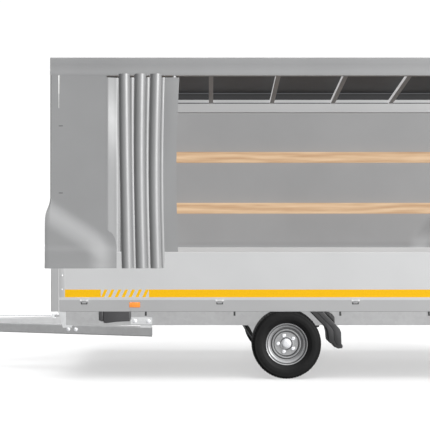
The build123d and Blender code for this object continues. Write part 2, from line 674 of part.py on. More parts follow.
def side_wall(x0, x1):
    return block(x0, x1, -SIDE - TARP, -SIDE, TARP_SPLIT, VALANCE_BOTTOM - 1)


def skirts():
    """Loose lower hem of the cover, outside the boards."""
    tip = BED_HALF + 5 + END_FLARE
    inner = BED_HALF - FLARE_LENGTH
    y0, y1 = -SIDE - SKIRT_OUT - TARP, -SIDE - SKIRT_OUT
    top = TARP_SPLIT - 0.5
    front = block(-tip, -inner, y0, y1, TARP_BOTTOM, top)
    rear_right = other_side(block(inner, tip, y0, y1, TARP_BOTTOM, top))
    middle = other_side(block(-inner, inner, -SIDE - 10, -SIDE - 6, TARP_BOTTOM, top))
    rear_left = block(1470, tip, y0, y1, TARP_BOTTOM, top)
    rear = block(tip - TARP, tip, y1, -y1, TARP_BOTTOM, top)
    return front, other_side(front), middle, rear_right, rear_left, rear


def curtain_folds():
    """The gathered curtain: a web above the board and four folds, three of which hang outside it."""
    top = VALANCE_BOTTOM - 1
    web = block(FOLD_START, -818, -SIDE - TARP, -SIDE, TARP_SPLIT, top)
    folds = [block(FOLD_START + 4, FOLD_START + 62, -932, -SIDE - TARP, TARP_SPLIT, top)]
    for x in FOLD_X:
        section = Pos(x, -931, TARP_BOTTOM) * RectangleRounded(FOLD_WIDE, FOLD_DEEP, 24)
        folds.append(extrude(section, amount=top - TARP_BOTTOM))
    return [web, *folds]


def laths():
    half = LATH_TALL / 2
    return [block(-LATH_END, LATH_END, 864, 886, z - half, z + half) for z in LATH_Z]


def lath_sockets():
    """A folded steel pocket at each end of each lath, on the inner face of a post."""
    pockets = []
    for z in LATH_Z:
        for sign in (-1, 1):
            x0, x1 = sorted((sign * (LATH_END + 4), sign * (LATH_END - 35)))
            half, end = LATH_TALL / 2, LATH_END + 0.5
            pocket = block(x0, x1, 861, 889, z - half - 3, z + half)
            pocket -= block(-end, end, 864, 886, z - half, z + half + 1)
            pockets.append(pocket)
    return pockets


# ---- Small fittings ------------------------------------------------------------------------------
def chock():
    """Left wheel chock, hung under the deck with its ramp facing down."""
    outline = [(-1250, RAIL_TOP), (-1250, 382), (-1212, 369), (-1130, 376), (-1041, 380),
               (-1041, RAIL_TOP)]
    body = prism_y(outline, -820, -700)
    return fillet(body.edges().filter_by(Axis.Z), 14)


def lashing_hook(x):
    outline = [(-890, RAIL_TOP), (-884, RAIL_TOP), (-884, 426), (-902, 426), (-902, 438),
               (-897, 438), (-897, 432), (-890, 432)]
    return prism_x(outline, x - 6, x + 6)


def light_bar():
    """Channel under the rear edge that carries the lamps."""
    half, foot, wall = 850, 345, 3
    bar = block(LAMP_X - 40, LAMP_X, -half, half, foot, RAIL_TOP)
    return bar - block(LAMP_X - 50, LAMP_X - wall, -half + wall, half - wall, foot + wall, RAIL_TOP - wall)


def lamps():
    """Housing and lens of the left rear lamp."""
    y0, y1, z0, z1 = -835, -620, 355, 438
    housing = bead(block(LAMP_X, LAMP_X + 16, y0, y1, z0, z1), Axis.X, 10)
    lens = block(LAMP_X + 16, LAMP_X + 24, y0 + 4, y1 - 4, z0 + 4, z1 - 4)
    return housing, bead(lens, Axis.X, 8)


# ---- Assembly ------------------------------------------------------------------------------------
def both(shape):
    return [shape, other_side(shape)]


save("chassis_rails", *both(chassis_rail()))
full_members = [cross_member(x, SIDE - EDGE_WIDE) for x in MEMBER_X]
save("cross_members", *full_members, cross_member(0, RAIL_OUT), cable_bracket())
save("deck_edges", *both(deck_edge()), deck_end(-1), deck_end(1))
save("floor_board", floor_board())
posts = both(corner_post(-1)) + both(corner_post(1))
save("corner_posts", *posts, *[place_latch(latch_pin(), c) for c in LATCHES.values()])
for name, corner in LATCHES.items():
    save(name, place_latch(latch_handle(), corner))

side_board = to_left(drop_board(BOARD_END))
side_leaves = [to_left(hinge_leaf(u)) for u in SIDE_HINGES]
save("board_left", side_board, *side_leaves)
save("board_right", other_side(side_board), *[other_side(leaf) for leaf in side_leaves])
save("board_front", Pos(-BED_HALF, 0, 0) * Rot(0, 0, -90) * board(SIDE - POST - 2, DECK_TOP))
rear_leaves = [to_rear(hinge_leaf(u)) for u in REAR_HINGES]
save("board_rear", to_rear(drop_board(SIDE - POST - 2)), *rear_leaves)
side_lugs = [to_left(hinge_lug(u)) for u in SIDE_HINGES]
save(
    "hinge_lugs", *side_lugs, *[other_side(lug) for lug in side_lugs],
    *[to_rear(hinge_lug(u)) for u in REAR_HINGES],
)

save("axle_tube", axle_tube())
for name, turn in (("left", lambda s: s), ("right", other_side)):
    save(f"swing_arm_{name}", turn(swing_arm()), turn(brake_shoes()))
    save(f"hub_{name}", turn(hub()), *[turn(b) for b in wheel_bolts()])
    save(f"rim_{name}", turn(rim()))
    save(f"tyre_{name}", turn(tyre()))
save("mudguards", *both(mudguard()))

save("drawbar_beams", *both(drawbar_beam()))
save("drawbar_brackets", *drawbar_brackets(), *drawbar_bolts())
save("overrun_housing", overrun_housing(), handbrake_pin())
save("overrun_damper", overrun_damper())
save("coupling_shaft", coupling_shaft())
save("coupling_bellows", bellows())
save("coupling_head", coupling_head())
save("coupling_lever", coupling_lever())
save("handbrake_lever", handbrake())
save("brake_rod", brake_rod())
save("brake_cables", *both(brake_cable()))

save("jockey_clamp", *jockey_clamp())
save("jockey_outer_tube", jockey_outer_tube())
save("jockey_inner_tube", jockey_inner_tube())
save("jockey_fork", jockey_fork())
save("jockey_wheel", jockey_wheel())
save("jockey_crank", jockey_crank())

save("roof_rails", roof_rail(ROOF_FOOT), other_side(roof_rail(1953)))
save("roof_bows", roof_end(-1), roof_end(1), *[roof_bow(x) for x in BOW_X])
save("laths", *laths(), *lath_sockets())

save("roof_cover", roof_cover())
save("tarp_front", end_wall(TARP_BOTTOM))
rear_return = side_wall(LATH_END, BED_HALF + 5 - TARP)
save("tarp_rear", Rot(0, 0, 180) * end_wall(TARP_SPLIT), rear_return)
save("tarp_skirts", *skirts())
right_wall = other_side(side_wall(-BED_HALF - 1, BED_HALF + 1))
save("curtain_right", right_wall, other_side(corner_wedge(-1)), other_side(corner_wedge(1)))
save("curtain_left_front", side_wall(-BED_HALF - 1, FOLD_START - 0.5), corner_wedge(-1))
save("curtain_folds", *curtain_folds())
save("curtain_lead", side_wall(-817.5, LEAD_END))
pole_foot, pole_top = TARP_SPLIT + 2, VALANCE_BOTTOM - 1
save("curtain_pole", rod((POLE_X, -889, pole_foot), (POLE_X, -889, pole_top), 11))

save("wheel_chocks", *both(chock()))
hooks = [lashing_hook(x) for x in (-932, -348, 348, 932)]
save("lashing_hooks", *hooks, *[other_side(h) for h in hooks])
markers = [block(x - 36, x + 36, -SIDE - 8, -SIDE, 480, 516) for x in (-1004, 1004)]
save("side_markers", *[bead(m, Axis.Y, 4) for m in markers], *[other_side(m) for m in markers])
save("light_bar", light_bar())
housing, lens = lamps()
save("rear_lamps", *both(housing), *both(lens))
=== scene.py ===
from math import atan, copysign, cos, exp, hypot, pi, radians, sin, sqrt

import bmesh
import bpy
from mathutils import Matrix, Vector, noise


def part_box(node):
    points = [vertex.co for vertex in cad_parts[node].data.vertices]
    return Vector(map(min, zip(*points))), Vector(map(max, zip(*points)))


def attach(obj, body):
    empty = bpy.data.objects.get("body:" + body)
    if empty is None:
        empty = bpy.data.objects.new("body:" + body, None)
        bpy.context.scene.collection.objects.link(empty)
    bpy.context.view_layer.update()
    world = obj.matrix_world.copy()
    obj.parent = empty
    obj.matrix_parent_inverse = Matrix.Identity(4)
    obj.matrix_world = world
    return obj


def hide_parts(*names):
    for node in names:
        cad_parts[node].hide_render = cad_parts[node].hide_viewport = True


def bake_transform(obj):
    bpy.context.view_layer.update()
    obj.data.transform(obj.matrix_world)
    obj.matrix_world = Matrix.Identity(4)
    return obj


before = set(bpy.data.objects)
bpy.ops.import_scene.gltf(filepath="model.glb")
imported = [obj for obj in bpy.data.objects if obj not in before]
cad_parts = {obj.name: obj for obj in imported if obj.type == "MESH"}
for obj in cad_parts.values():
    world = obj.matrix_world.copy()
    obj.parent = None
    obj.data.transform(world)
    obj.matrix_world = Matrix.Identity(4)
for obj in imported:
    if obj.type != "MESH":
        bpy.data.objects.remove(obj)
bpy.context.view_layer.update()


# ---- Places, from the frame ----
def corners(node):
    low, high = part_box(node)
    return Vector(low), Vector(high)


EDGE_LOW, EDGE_HIGH = corners("deck_edges")
ROOF_LOW, ROOF_HIGH = corners("roof_cover")
SKIRT_LOW, SKIRT_HIGH = corners("tarp_skirts")
FRONT_LOW = corners("tarp_front")[0]
BOARD_LOW, BOARD_HIGH = corners("board_left")
TYRE_LOW, TYRE_HIGH = corners("tyre_left")
FOLD_LOW, FOLD_HIGH = corners("curtain_folds")
LEAD_HIGH = corners("curtain_lead")[1]
BED = (EDGE_LOW.x + EDGE_HIGH.x) / 2  # middle of the bed, and the wheels' axis
SIDE = EDGE_HIGH.y  # half the width of the deck
WHEEL_Z = (TYRE_LOW.z + TYRE_HIGH.z) / 2
WHEEL_R = (TYRE_HIGH.z - TYRE_LOW.z) / 2
WHEEL_Y = -(TYRE_LOW.y + TYRE_HIGH.y) / 2


# ---- Materials ----
def fill(tree, node, values):
    """Gives the inputs of a node their values, or the outputs of other nodes."""
    for key, value in values.items():
        if hasattr(value, "is_output"):
            tree.links.new(value, node.inputs[key])
        else:
            node.inputs[key].default_value = value
    return node


def add_node(tree, kind, values=None, **settings):
    """kind is the node's type without its ShaderNode in front."""
    made = tree.nodes.new("ShaderNode" + kind)
    for key, value in settings.items():
        setattr(made, key, value)
    return fill(tree, made, values or {})


class Paint:
    """A node material being made. Its coordinates are the frame's metres, so grain keeps its size."""

    def __init__(self, name, rough, metal=0, specular=0.5):
        self.material = bpy.data.materials.new(name)
        self.material.use_nodes = True
        self.tree = self.material.node_tree
        self.rough = rough
        self.place = self.node("TexCoord").outputs["Object"]
        self.set({"Roughness": rough, "Metallic": metal})
        self.settle_dust(specular)

    def node(self, kind, values=None, **settings):
        return add_node(self.tree, kind, values, **settings)

    def set(self, values):
        fill(self.tree, self.tree.nodes["Principled BSDF"], values)

    def settle_dust(self, specular):
        """Dust that lies on upward faces takes their gloss away."""
        facing = self.node("NewGeometry").outputs["Normal"]
        up = self.node("SeparateXYZ", {0: facing}).outputs["Z"]
        self.set({"Specular IOR Level": self.spread(up, specular, 0, 0.8, 0.95)})

    def stretched(self, x, y, z):
        scaled = self.node("Mapping", {"Vector": self.place, "Scale": (x, y, z)})
        return scaled.outputs["Vector"]

    def noise(self, scale, detail=3, vector=None):
        values = {"Vector": vector or self.place, "Scale": scale, "Detail": detail}
        return self.node("TexNoise", values).outputs["Fac"]

    def cells(self, scale, vector=None, output="Color"):
        values = {"Vector": vector or self.place, "Scale": scale}
        return self.node("TexVoronoi", values).outputs[output]

    def bands(self, scale, direction, vector=None):
        values = {"Vector": vector or self.place, "Scale": scale}
        return self.node("TexWave", values, bands_direction=direction).outputs["Fac"]

    def math(self, how, a, b):
        return self.node("Math", {0: a, 1: b}, operation=how).outputs[0]

    def mixed(self, a, b, share):
        """a and b added up, with a's share of the whole."""
        return self.math("ADD", self.math("MULTIPLY", a, share), self.math("MULTIPLY", b, 1 - share))

    def vector(self, how, a, b=(0, 0, 0), output="Vector"):
        return self.node("VectorMath", {0: a, 1: b}, operation=how).outputs[output]

    def spread(self, value, low, high, start=0, end=1):
        """Stretches a value of start to end onto low to high."""
        values = {"Value": value, "From Min": start, "From Max": end, "To Min": low, "To Max": high}
        return self.node("MapRange", values).outputs["Result"]

    def colour(self, value, first, second, low=0.3, high=0.7):
        """Runs from the first to the second colour as value runs from low to high."""
        ramp = self.node("ValToRGB", {"Fac": value})
        start, end = ramp.color_ramp.elements
        start.position, start.color = low, (*first, 1)
        end.position, end.color = high, (*second, 1)
        self.set({"Base Color": ramp.outputs["Color"]})

    def roughness(self, value, low, high):
        """Runs from low to high as value runs from 0 to 1."""
        self.set({"Roughness": self.spread(value, low, high)})

    def mottle(self, colour, tone, shades, gloss, swing):
        """Soft patches in the colour and in the roughness, each from its own (scale, detail) noise."""
        dark, light = (shade(colour, factor) for factor in shades)
        self.colour(self.noise(*tone), dark, light)
        self.roughness(self.noise(*gloss), self.rough - swing[0], self.rough + swing[1])

    def bump(self, *layers):
        """Each layer is (height, metres)."""
        normal = None
        for height, distance in layers:
            values = {"Height": height, "Distance": distance}
            if normal:
                values["Normal"] = normal
            normal = self.node("Bump", values).outputs["Normal"]
        self.set({"Normal": normal})
        return self.material


def shade(colour, factor):
    return tuple(c * factor for c in colour)


def tarpaulin(name, colour, rough, specular=0.5):
    """Coated PVC cloth: a fine square weave, soft mottling and a semi-gloss coat."""
    paint = Paint(name, rough, specular=specular)
    paint.mottle(colour, (1.6, 4), (0.95, 1.05), (9, 3), (0.05, 0.06))
    weave = paint.math("ADD", paint.cells(420, paint.stretched(1, 1, 0.5), "Distance"),
                       paint.noise(260, 1))
    return paint.bump((weave, 0.00012), (paint.noise(5, 2), 0.0012))


def aluminium(name, colour, rough=0.5):
    """Anodised extrusion: fine die lines along X and a cloudy oxide coat."""
    paint = Paint(name, rough, 0.15)
    lines = paint.noise(60, 2, paint.stretched(0.02, 1, 6))
    paint.colour(paint.noise(2.3, 3), shade(colour, 0.97), shade(colour, 1.02))
    paint.roughness(lines, rough - 0.06, rough + 0.08)
    return paint.bump((lines, 0.00015))


def galvanised(name, colour):
    """Hot-dip zinc: spangle cells, runs and dull patches."""
    paint = Paint(name, 0.5, 0.12)
    spangle = paint.cells(48)
    cloud = paint.noise(5, 5)
    paint.colour(paint.mixed(spangle, cloud, 0.35), shade(colour, 0.92), shade(colour, 1.06), 0.25, 0.75)
    paint.roughness(spangle, 0.38, 0.62)
    return paint.bump((cloud, 0.0006), (spangle, 0.00008))


def plated(name, colour):
    """Bright zinc plate, with fine turning marks."""
    paint = Paint(name, 0.28, 0.35)
    paint.mottle(colour, (30, 3), (0.9, 1.05), (140, 2), (0.08, 0.12))
    return paint.bump((paint.noise(300, 2), 0.00006))


def cast(name, colour, rough=0.55):
    """Painted casting with a sand-cast skin."""
    paint = Paint(name, rough, 0.1)
    paint.mottle(colour, (12, 4), (0.8, 1.25), (40, 3), (0.1, 0.12))
    return paint.bump((paint.noise(180, 4), 0.0004))


def moulded(name, colour, rough=0.5, grain=0.00025):
    """Moulded plastic or rubber with a fine leather grain."""
    paint = Paint(name, rough)
    paint.mottle(colour, (7, 4), (0.85, 1.15), (25, 3), (0.08, 0.1))
    return paint.bump((paint.cells(380, output="Distance"), grain))


def rubber_tyre(name):
    """Tyre rubber, with dust that gathers low in the grain."""
    paint = Paint(name, 0.72, specular=0.22)
    dust = paint.math("MULTIPLY", paint.noise(9, 5), paint.noise(70, 3))
    paint.colour(dust, (0.0035, 0.0035, 0.0037), (0.011, 0.0108, 0.0105), 0.15, 0.5)
    paint.roughness(dust, 0.62, 0.95)
    return paint.bump((paint.noise(220, 3), 0.0003))


def silver_paint(name, colour):
    """Wheel silver: a metallic flake under a thin clear coat, with painted shade darkening the rim's grooves.
    """
    paint = Paint(name, 0.46, 0.25)
    paint.set({"Coat Weight": 0.08, "Coat Roughness": 0.3})
    from_hub = paint.vector("MULTIPLY", paint.vector("SUBTRACT", paint.place, (BED, 0, WHEEL_Z)), (1, 0, 1))
    radius = paint.vector("LENGTH", from_hub, output="Value")
    speckle_and_painted_shade = paint.cells(900)
    # painted shade: the colour darkens at each groove's radius
    for groove, half in PAINTED_SHADE_GROOVES:
        away = paint.math("ABSOLUTE", paint.math("SUBTRACT", radius, groove), 0)
        speckle_and_painted_shade = paint.math("MULTIPLY", speckle_and_painted_shade, paint.spread(away, 0, 1, 0.4 * half, half))
    paint.colour(speckle_and_painted_shade, shade(colour, 0.16), colour, 0, 0.4)
    paint.roughness(paint.noise(18, 4), 0.42, 0.52)
    return paint.bump((paint.noise(60, 2), 0.0002))


def pine(name):
    """Planed softwood with its grain and growth bands along X."""
    paint = Paint(name, 0.58, specular=0.3)
    warp = paint.math("MULTIPLY", paint.noise(3, 3, paint.stretched(0.5, 3, 3)), 0.1)
    rings = paint.bands(5, "Z", paint.vector("ADD", paint.place, warp))
    fibres = paint.noise(60, 4, paint.stretched(0.05, 1, 1))
    paint.colour(paint.mixed(rings, fibres, 0.3), (0.6, 0.43, 0.275), (0.4, 0.245, 0.135), 0.25, 0.8)
    paint.roughness(fibres, 0.5, 0.7)
    return paint.bump((fibres, 0.0004), (rings, 0.0003))


def film_plywood(name):
    """Brown film-faced plywood with a pressed mesh pattern on top."""
    paint = Paint(name, 0.45)
    mesh_pattern = paint.math("MULTIPLY", paint.bands(95, "X"), paint.bands(95, "Y"))
    paint.colour(paint.noise(4, 5), (0.055, 0.032, 0.022), (0.11, 0.066, 0.044))
    paint.roughness(mesh_pattern, 0.36, 0.6)
    return paint.bump((mesh_pattern, 0.0008))


def reflective_tape(name, colour):
    """Retro-reflective tape: a honeycomb cell under a clear film."""
    paint = Paint(name, 0.35, specular=0.15)
    cell = paint.cells(260, output="Distance")
    paint.colour(cell, shade(colour, 1.04), shade(colour, 0.94), 0.2, 0.7)
    paint.roughness(cell, 0.3, 0.42)
    return paint.bump((cell, 0.00006))


def lens(name, colour, glow):
    """Lamp lens: tinted plastic over a ribbed reflector."""
    paint = Paint(name, 0.18)
    ribs = paint.bands(160, "X")
    paint.colour(ribs, colour, shade(colour, 0.72), 0.1, 0.9)
    paint.roughness(ribs, 0.14, 0.26)
    paint.set({"Coat Weight": 0.6, "Emission Color": (*colour, 1), "Emission Strength": glow})
    return paint.bump((ribs, 0.0005))


# radius and half width of each groove of the rim, where the silver is darkened as painted shade
PAINTED_SHADE_GROOVES = ((0.0385, 0.005), (0.082, 0.0065), (0.1005, 0.006), (0.1285, 0.005))
GREY_CLOTH = tarpaulin("tarpaulin_grey", (0.216, 0.2175, 0.219), 0.6)
CURTAIN_CLOTH = tarpaulin("tarpaulin_curtain", (0.208, 0.2095, 0.211), 0.46, 1)
# painted light: the walls' inside is the same cloth made paler, for the light on the far wall
PAINTED_LIGHT_INSIDE_CLOTH = tarpaulin("tarpaulin_inside_painted_light", (0.236, 0.237, 0.239), 0.5)
# painted shade: two dark cloths for the roof's underside and the rails' inner faces
PAINTED_SHADE_LINING = tarpaulin("painted_shade_cloth", (0.084, 0.088, 0.094), 0.6)
PAINTED_SHADE_HEM = tarpaulin("painted_shade_hem_cloth", (0.014, 0.014, 0.015), 0.8)
# painted shadow: dark cloth for the shadows in the strap slots
SLOT_SHADOW_CLOTH = tarpaulin("slot_shadow_cloth", (0.085, 0.086, 0.088), 0.6)
# painted highlight: a white strip for the light along the front corner's seam
PAINTED_HIGHLIGHT = moulded("painted_highlight_strip", (0.8, 0.8, 0.78), 0.5, 0.0001)
BOARD_METAL = aluminium("board_aluminium", (0.455, 0.457, 0.459))
FRAME_METAL = aluminium("frame_aluminium", (0.33, 0.331, 0.333), 0.48)
CAP_METAL = aluminium("end_cap_aluminium", (0.4, 0.401, 0.403), 0.45)
RAIL_METAL = aluminium("roof_rail_aluminium", (0.36, 0.362, 0.364), 0.45)
STEEL = galvanised("galvanised_steel", (0.345, 0.346, 0.349))
PALE_STEEL = galvanised("galvanised_plate", (0.52, 0.525, 0.53))
ZINC = plated("zinc_plate", (0.8, 0.81, 0.83))
SILVER = silver_paint("wheel_silver", (0.31, 0.312, 0.316))
DRUM = cast("drum_casting", (0.12, 0.12, 0.125))
BLACK_CAST = cast("black_casting", (0.035, 0.035, 0.037), 0.45)
TYRE = rubber_tyre("tyre_rubber")
PLASTIC = moulded("black_plastic", (0.028, 0.028, 0.029))
CHOCK_PLASTIC = moulded("chock_plastic", (0.05, 0.05, 0.052), 0.4)
RUBBER = moulded("black_rubber", (0.022, 0.022, 0.023), 0.6)
CABLE = moulded("cable_sheath", (0.018, 0.018, 0.019), 0.45, 0.0001)
PINE = pine("pine_lath")
PLYWOOD = film_plywood("film_plywood")
YELLOW = reflective_tape("yellow_tape", (0.66, 0.37, 0.006))
AMBER = lens("amber_lens", (0.86, 0.27, 0.035), 0.22)
RED = lens("red_lens", (0.42, 0.012, 0.012), 0)
CLEAR = lens("clear_lens", (0.82, 0.83, 0.84), 0.1)

NODE_PAINT = (
    (STEEL, "chassis_rails cross_members axle_tube drawbar_beams jockey_clamp roof_bows light_bar"),
    (STEEL, "swing_arm_left swing_arm_right coupling_shaft handbrake_lever jockey_fork"),
    (PALE_STEEL, "drawbar_brackets"),
    (FRAME_METAL, "deck_edges corner_posts"),
    (BOARD_METAL, "board_front board_left board_right board_rear"),
    (RAIL_METAL, "hinge_lugs roof_rails curtain_pole"),
    (BLACK_CAST, "overrun_housing coupling_head coupling_lever"),
    (ZINC, "overrun_damper jockey_outer_tube jockey_inner_tube jockey_crank brake_rod"),
    (ZINC, "latch_left_front latch_left_rear latch_right_front latch_right_rear"),
    (ZINC, "latch_rear_left latch_rear_right"),
    (PLYWOOD, "floor_board"),
    (CABLE, "brake_cables"),
    (PINE, "laths"),
    (PLASTIC, "lashing_hooks"),
)
for paint, names in NODE_PAINT:
    for node in names.split():
        for material_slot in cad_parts[node].material_slots:
            material_slot.material = paint


# ---- Mesh helpers ----
def add_object(name, data):
    made = bpy.data.objects.new(name, data)
    bpy.context.collection.objects.link(made)
    return made


def add_mesh(name, points, faces, paint):
    mesh = bpy.data.meshes.new(name)
    mesh.from_pydata([tuple(p) for p in points], [], faces)
    mesh.materials.append(paint)
    mesh.shade_smooth()
    return add_object(name, mesh)


def settle(piece, sharp):
    """Applies the piece's modifiers. Edges sharper than the angle in degrees stay crisp."""
    evaluated = piece.evaluated_get(bpy.context.evaluated_depsgraph_get())
    mesh = bpy.data.meshes.new_from_object(evaluated)
    piece.modifiers.clear()
    piece.data = mesh
    mesh.set_sharp_from_angle(angle=radians(sharp))
    return piece


def face_out(piece, merge=False):
    """Turns all faces outwards. merge first joins the points that lie in one place."""
    made = bmesh.new()
    made.from_mesh(piece.data)
    if merge:
        bmesh.ops.remove_doubles(made, verts=made.verts, dist=1e-6)
    bmesh.ops.recalc_face_normals(made, faces=made.faces)
    made.to_mesh(piece.data)
    made.free()
    return piece


def reshaped(piece, move):
    """Moves each point of a piece to where move(x, y, z) says."""
    for vertex in piece.data.vertices:
        vertex.co = move(*vertex.co)
    return piece


def grid(name, rows, paint):
    """A sheet from rows of points, all of the same length."""
    wide = len(rows[0])
    points = [p for row in rows for p in row]
    faces = [
        (r * wide + c, r * wide + c + 1, (r + 1) * wide + c + 1, (r + 1) * wide + c)
        for r in range(len(rows) - 1) for c in range(wide - 1)
    ]
    return add_mesh(name, points, faces, paint)


def thicken(piece, thickness, inside=None):
    """Gives a sheet its thickness. inside is the material of its back."""
    solid = piece.modifiers.new("cloth", "SOLIDIFY")
    solid.thickness, solid.offset = thickness, 0
    if inside:
        piece.data.materials.append(inside)
        solid.material_offset = 1
    return settle(piece, 50)


def prism(name, outline, low, high, paint, bevel=0.002, segments=3):
    """Extrudes an outline of (x, z) points along Y, with rounded edges."""
    count = len(outline)
    points = [(a, w, b) for w in (low, high) for a, b in outline]
    faces = [tuple(range(count)), tuple(range(2 * count - 1, count - 1, -1))]
    faces += [(i, (i + 1) % count, count + (i + 1) % count, count + i) for i in range(count)]
    piece = face_out(add_mesh(name, points, faces, paint))
    if bevel:
        rounded = piece.modifiers.new("edge", "BEVEL")
        rounded.width, rounded.segments, rounded.limit_method = bevel, segments, "ANGLE"
        rounded.angle_limit = radians(25)
    return settle(piece, 40)


def slab(name, low, high, paint, bevel=0.002):
    outline = [(low[0], low[2]), (high[0], low[2]), (high[0], high[2]), (low[0], high[2])]
    return prism(name, outline, low[1], high[1], paint, bevel=bevel)


def smooth_line(points, steps):
    """A curve through the points, as steps points for each stretch between two of them."""
    line = []
    last = len(points) - 1
    for i in range(last):
        a, b, c, d = (Vector(points[n]) for n in (max(i - 1, 0), i, i + 1, min(i + 2, last)))
        for k in range(steps):
            t = k / steps
            line.append(0.5 * (2 * b + (c - a) * t + (2 * a - 5 * b + 4 * c - d) * t * t
                               + (3 * b - a - 3 * c + d) * t ** 3))
    line.append(Vector(points[last]))
    return line


def lathe(name, profile, paint, x, z, turns, closed=True, bend=None):
    """Turns (radius, y) points about an axis along Y. bend(radius, y, angle) may change a radius."""
    points = []
    for k in range(turns):
        angle = 2 * pi * k / turns
        for radius, y in profile:
            r = bend(radius, y, angle) if bend else radius
            points.append((x + r * cos(angle), y, z + r * sin(angle)))
    wide = len(profile)
    across = wide if closed else wide - 1
    faces = [
        (k * wide + i, k * wide + (i + 1) % wide,
         (k + 1) % turns * wide + (i + 1) % wide, (k + 1) % turns * wide + i)
        for k in range(turns) for i in range(across)
    ]
    piece = face_out(add_mesh(name, points, faces, paint), merge=True)
    piece.data.set_sharp_from_angle(angle=radians(38))
    return piece


def hexagon(low, high, depth):
    """A bend for lathe that makes the radii between low and high six-sided."""
    return lambda r, y, angle: r * (1 - depth * cos(6 * angle)) if low < r < high else r


def joined(name, pieces):
    """One piece from several, each with its own materials."""
    bpy.ops.object.select_all(action="DESELECT")
    for piece in pieces:
        piece.select_set(True)
    bpy.context.view_layer.objects.active = pieces[0]
    bpy.ops.object.join()
    pieces[0].name = pieces[0].data.name = name
    return pieces[0]


def mirrored(piece, name):
    """A copy on the other side of the trailer."""
    copy = add_object(name, piece.data.copy())
    copy.data.flip_normals()
    return reshaped(copy, lambda x, y, z: (x, -y, z))


def with_mirrored(pieces):
    return pieces + [mirrored(piece, piece.name) for piece in pieces]


def put(piece, body, slot, *nodes):
    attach(piece, body)
    if nodes:
        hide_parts(*nodes)


def put_joined(name, pieces, body, slot, *nodes):
    put(joined(name, pieces), body, slot, *nodes)


def put_both(name, pieces, slot, *nodes, bodies=("root", "root")):
    """Joins the pieces of the left side and puts them, and their mirror image, in their places."""
    left = joined(f"{name}_left", pieces)
    right = mirrored(left, f"{name}_right")
    put(left, bodies[0], slot, *nodes)
    put(right, bodies[1], slot, *nodes)


def spaced(low, high, step):
    count = max(1, round((high - low) / step))
    return [low + (high - low) * i / count for i in range(count + 1)]


def ease(t):
    """Rises from 0 to 1 along two parabolas, steepest in the middle, as pushed-out cloth does."""
    t = min(max(t, 0), 1)
    return 2 * t * t if t < 0.5 else 1 - 2 * (1 - t) ** 2


# ---- Cover: walls ----
CLOTH = 0.0016
VALANCE = 0.119
WALL_X = ROOF_HIGH.x - BED - 0.0014  # wall plane at the ends, from the bed's middle
WALL_Y = SIDE + 0.0035
WALL_TOP = ROOF_LOW.z + 0.02  # the walls run up behind the valance
HEM_Z = SKIRT_LOW.z + 0.001
HEM = 0.034
CORNER_R = 0.008
SIDE_FLARE = SKIRT_HIGH.y - WALL_Y - 0.004
END_FLARE = BED - WALL_X - FRONT_LOW.x - 0.005
CRESTS = {False: (1.108, 0.637), True: (1.225, 0.8)}  # height at a corner, and slope: front, rear
CREST_ABOVE, CREST_BELOW = 0.078, 0.098  # reach of the slope on each side of the crest
END_CREST, END_REACH = 1.138, 0.072
FLARE_END = FOLD_LOW.x - BED + WALL_X + 0.068  # a side flare reaches this far from its corner
FLARE_FADE = 0.095
LIP, LIP_REACH = 0.066, 0.2  # the front part's free edge swings out, and takes this much cloth along
LIP_LOW, LIP_TALL = 0.862, 0.125  # in full up to this height, then less and less
EDGE_X = -WALL_X + FLARE_END - LIP  # free edge of the fixed front part, above its flare
REAR_EDGE = 0.085  # the rear wall wraps this far round the left rear corner


def crest_step(z, crest, above, below):
    """0 above the crest's slope and 1 below it, with parabolas on both sides of the crest."""
    t = crest - z
    if t <= 0:
        t = max(t, -above)
        return (t + above) ** 2 / (above * (above + below))
    t = min(t, below)
    return 1 - (below - t) ** 2 / (below * (above + below))


def side_flare(along, z, rear):
    """How far a side stands out, at a distance from its front or rear corner."""
    height, slope = CRESTS[rear]
    lean = hypot(1, slope)
    crest = height - slope * along
    down = crest_step(z, crest, CREST_ABOVE * lean, CREST_BELOW * lean)
    fade = 1 - 0.86 * ease((along - FLARE_END + 2 * FLARE_FADE) / (2 * FLARE_FADE))
    return SIDE_FLARE * down * fade


def skirt_gap(z):
    """The cloth hangs just outside the board."""
    return 0.004 * ease((BOARD_HIGH.z + 0.05 - z) / 0.05)


def end_flare(z):
    return END_FLARE * crest_step(z, END_CREST, END_REACH, END_REACH)


def wall_line():
    """Points along the wall's plan: (x, y, outward x, outward y, kind)."""
    line = []
    straight_x, straight_y = WALL_X - CORNER_R, WALL_Y - CORNER_R

    def stretch(start, end, out, kind):
        """Points lie closer where a side flares."""
        length = (Vector(end) - Vector(start)).length
        marks = [0]
        while marks[-1] < length:
            flares = kind == "side" and min(marks[-1], length - marks[-1]) < FLARE_END + 0.06
            marks.append(marks[-1] + (0.012 if flares else 0.045))
        marks[-1] = length
        for mark in marks:
            x, y = Vector(start).lerp(Vector(end), mark / length)
            line.append((x, y, *out, kind))

    def turn(cx, cy, first):
        for k in range(1, 8):
            angle = radians(first - 90 * k / 8)
            out = (cos(angle), sin(angle))
            line.append((cx + CORNER_R * out[0], cy + CORNER_R * out[1], *out, "corner"))

    stretch((EDGE_X, -WALL_Y), (-straight_x, -WALL_Y), (0, -1), "side")
    turn(-straight_x, -straight_y, 270)
    stretch((-WALL_X, -straight_y), (-WALL_X, straight_y), (-1, 0), "end")
    turn(-straight_x, straight_y, 180)
    stretch((-straight_x, WALL_Y), (straight_x, WALL_Y), (0, 1), "side")
    turn(straight_x, straight_y, 90)
    stretch((WALL_X, straight_y), (WALL_X, -straight_y), (1, 0), "end")
    turn(straight_x, -straight_y, 0)
    stretch((straight_x, -WALL_Y), (WALL_X - REAR_EDGE, -WALL_Y), (0, -1), "side")
    return line


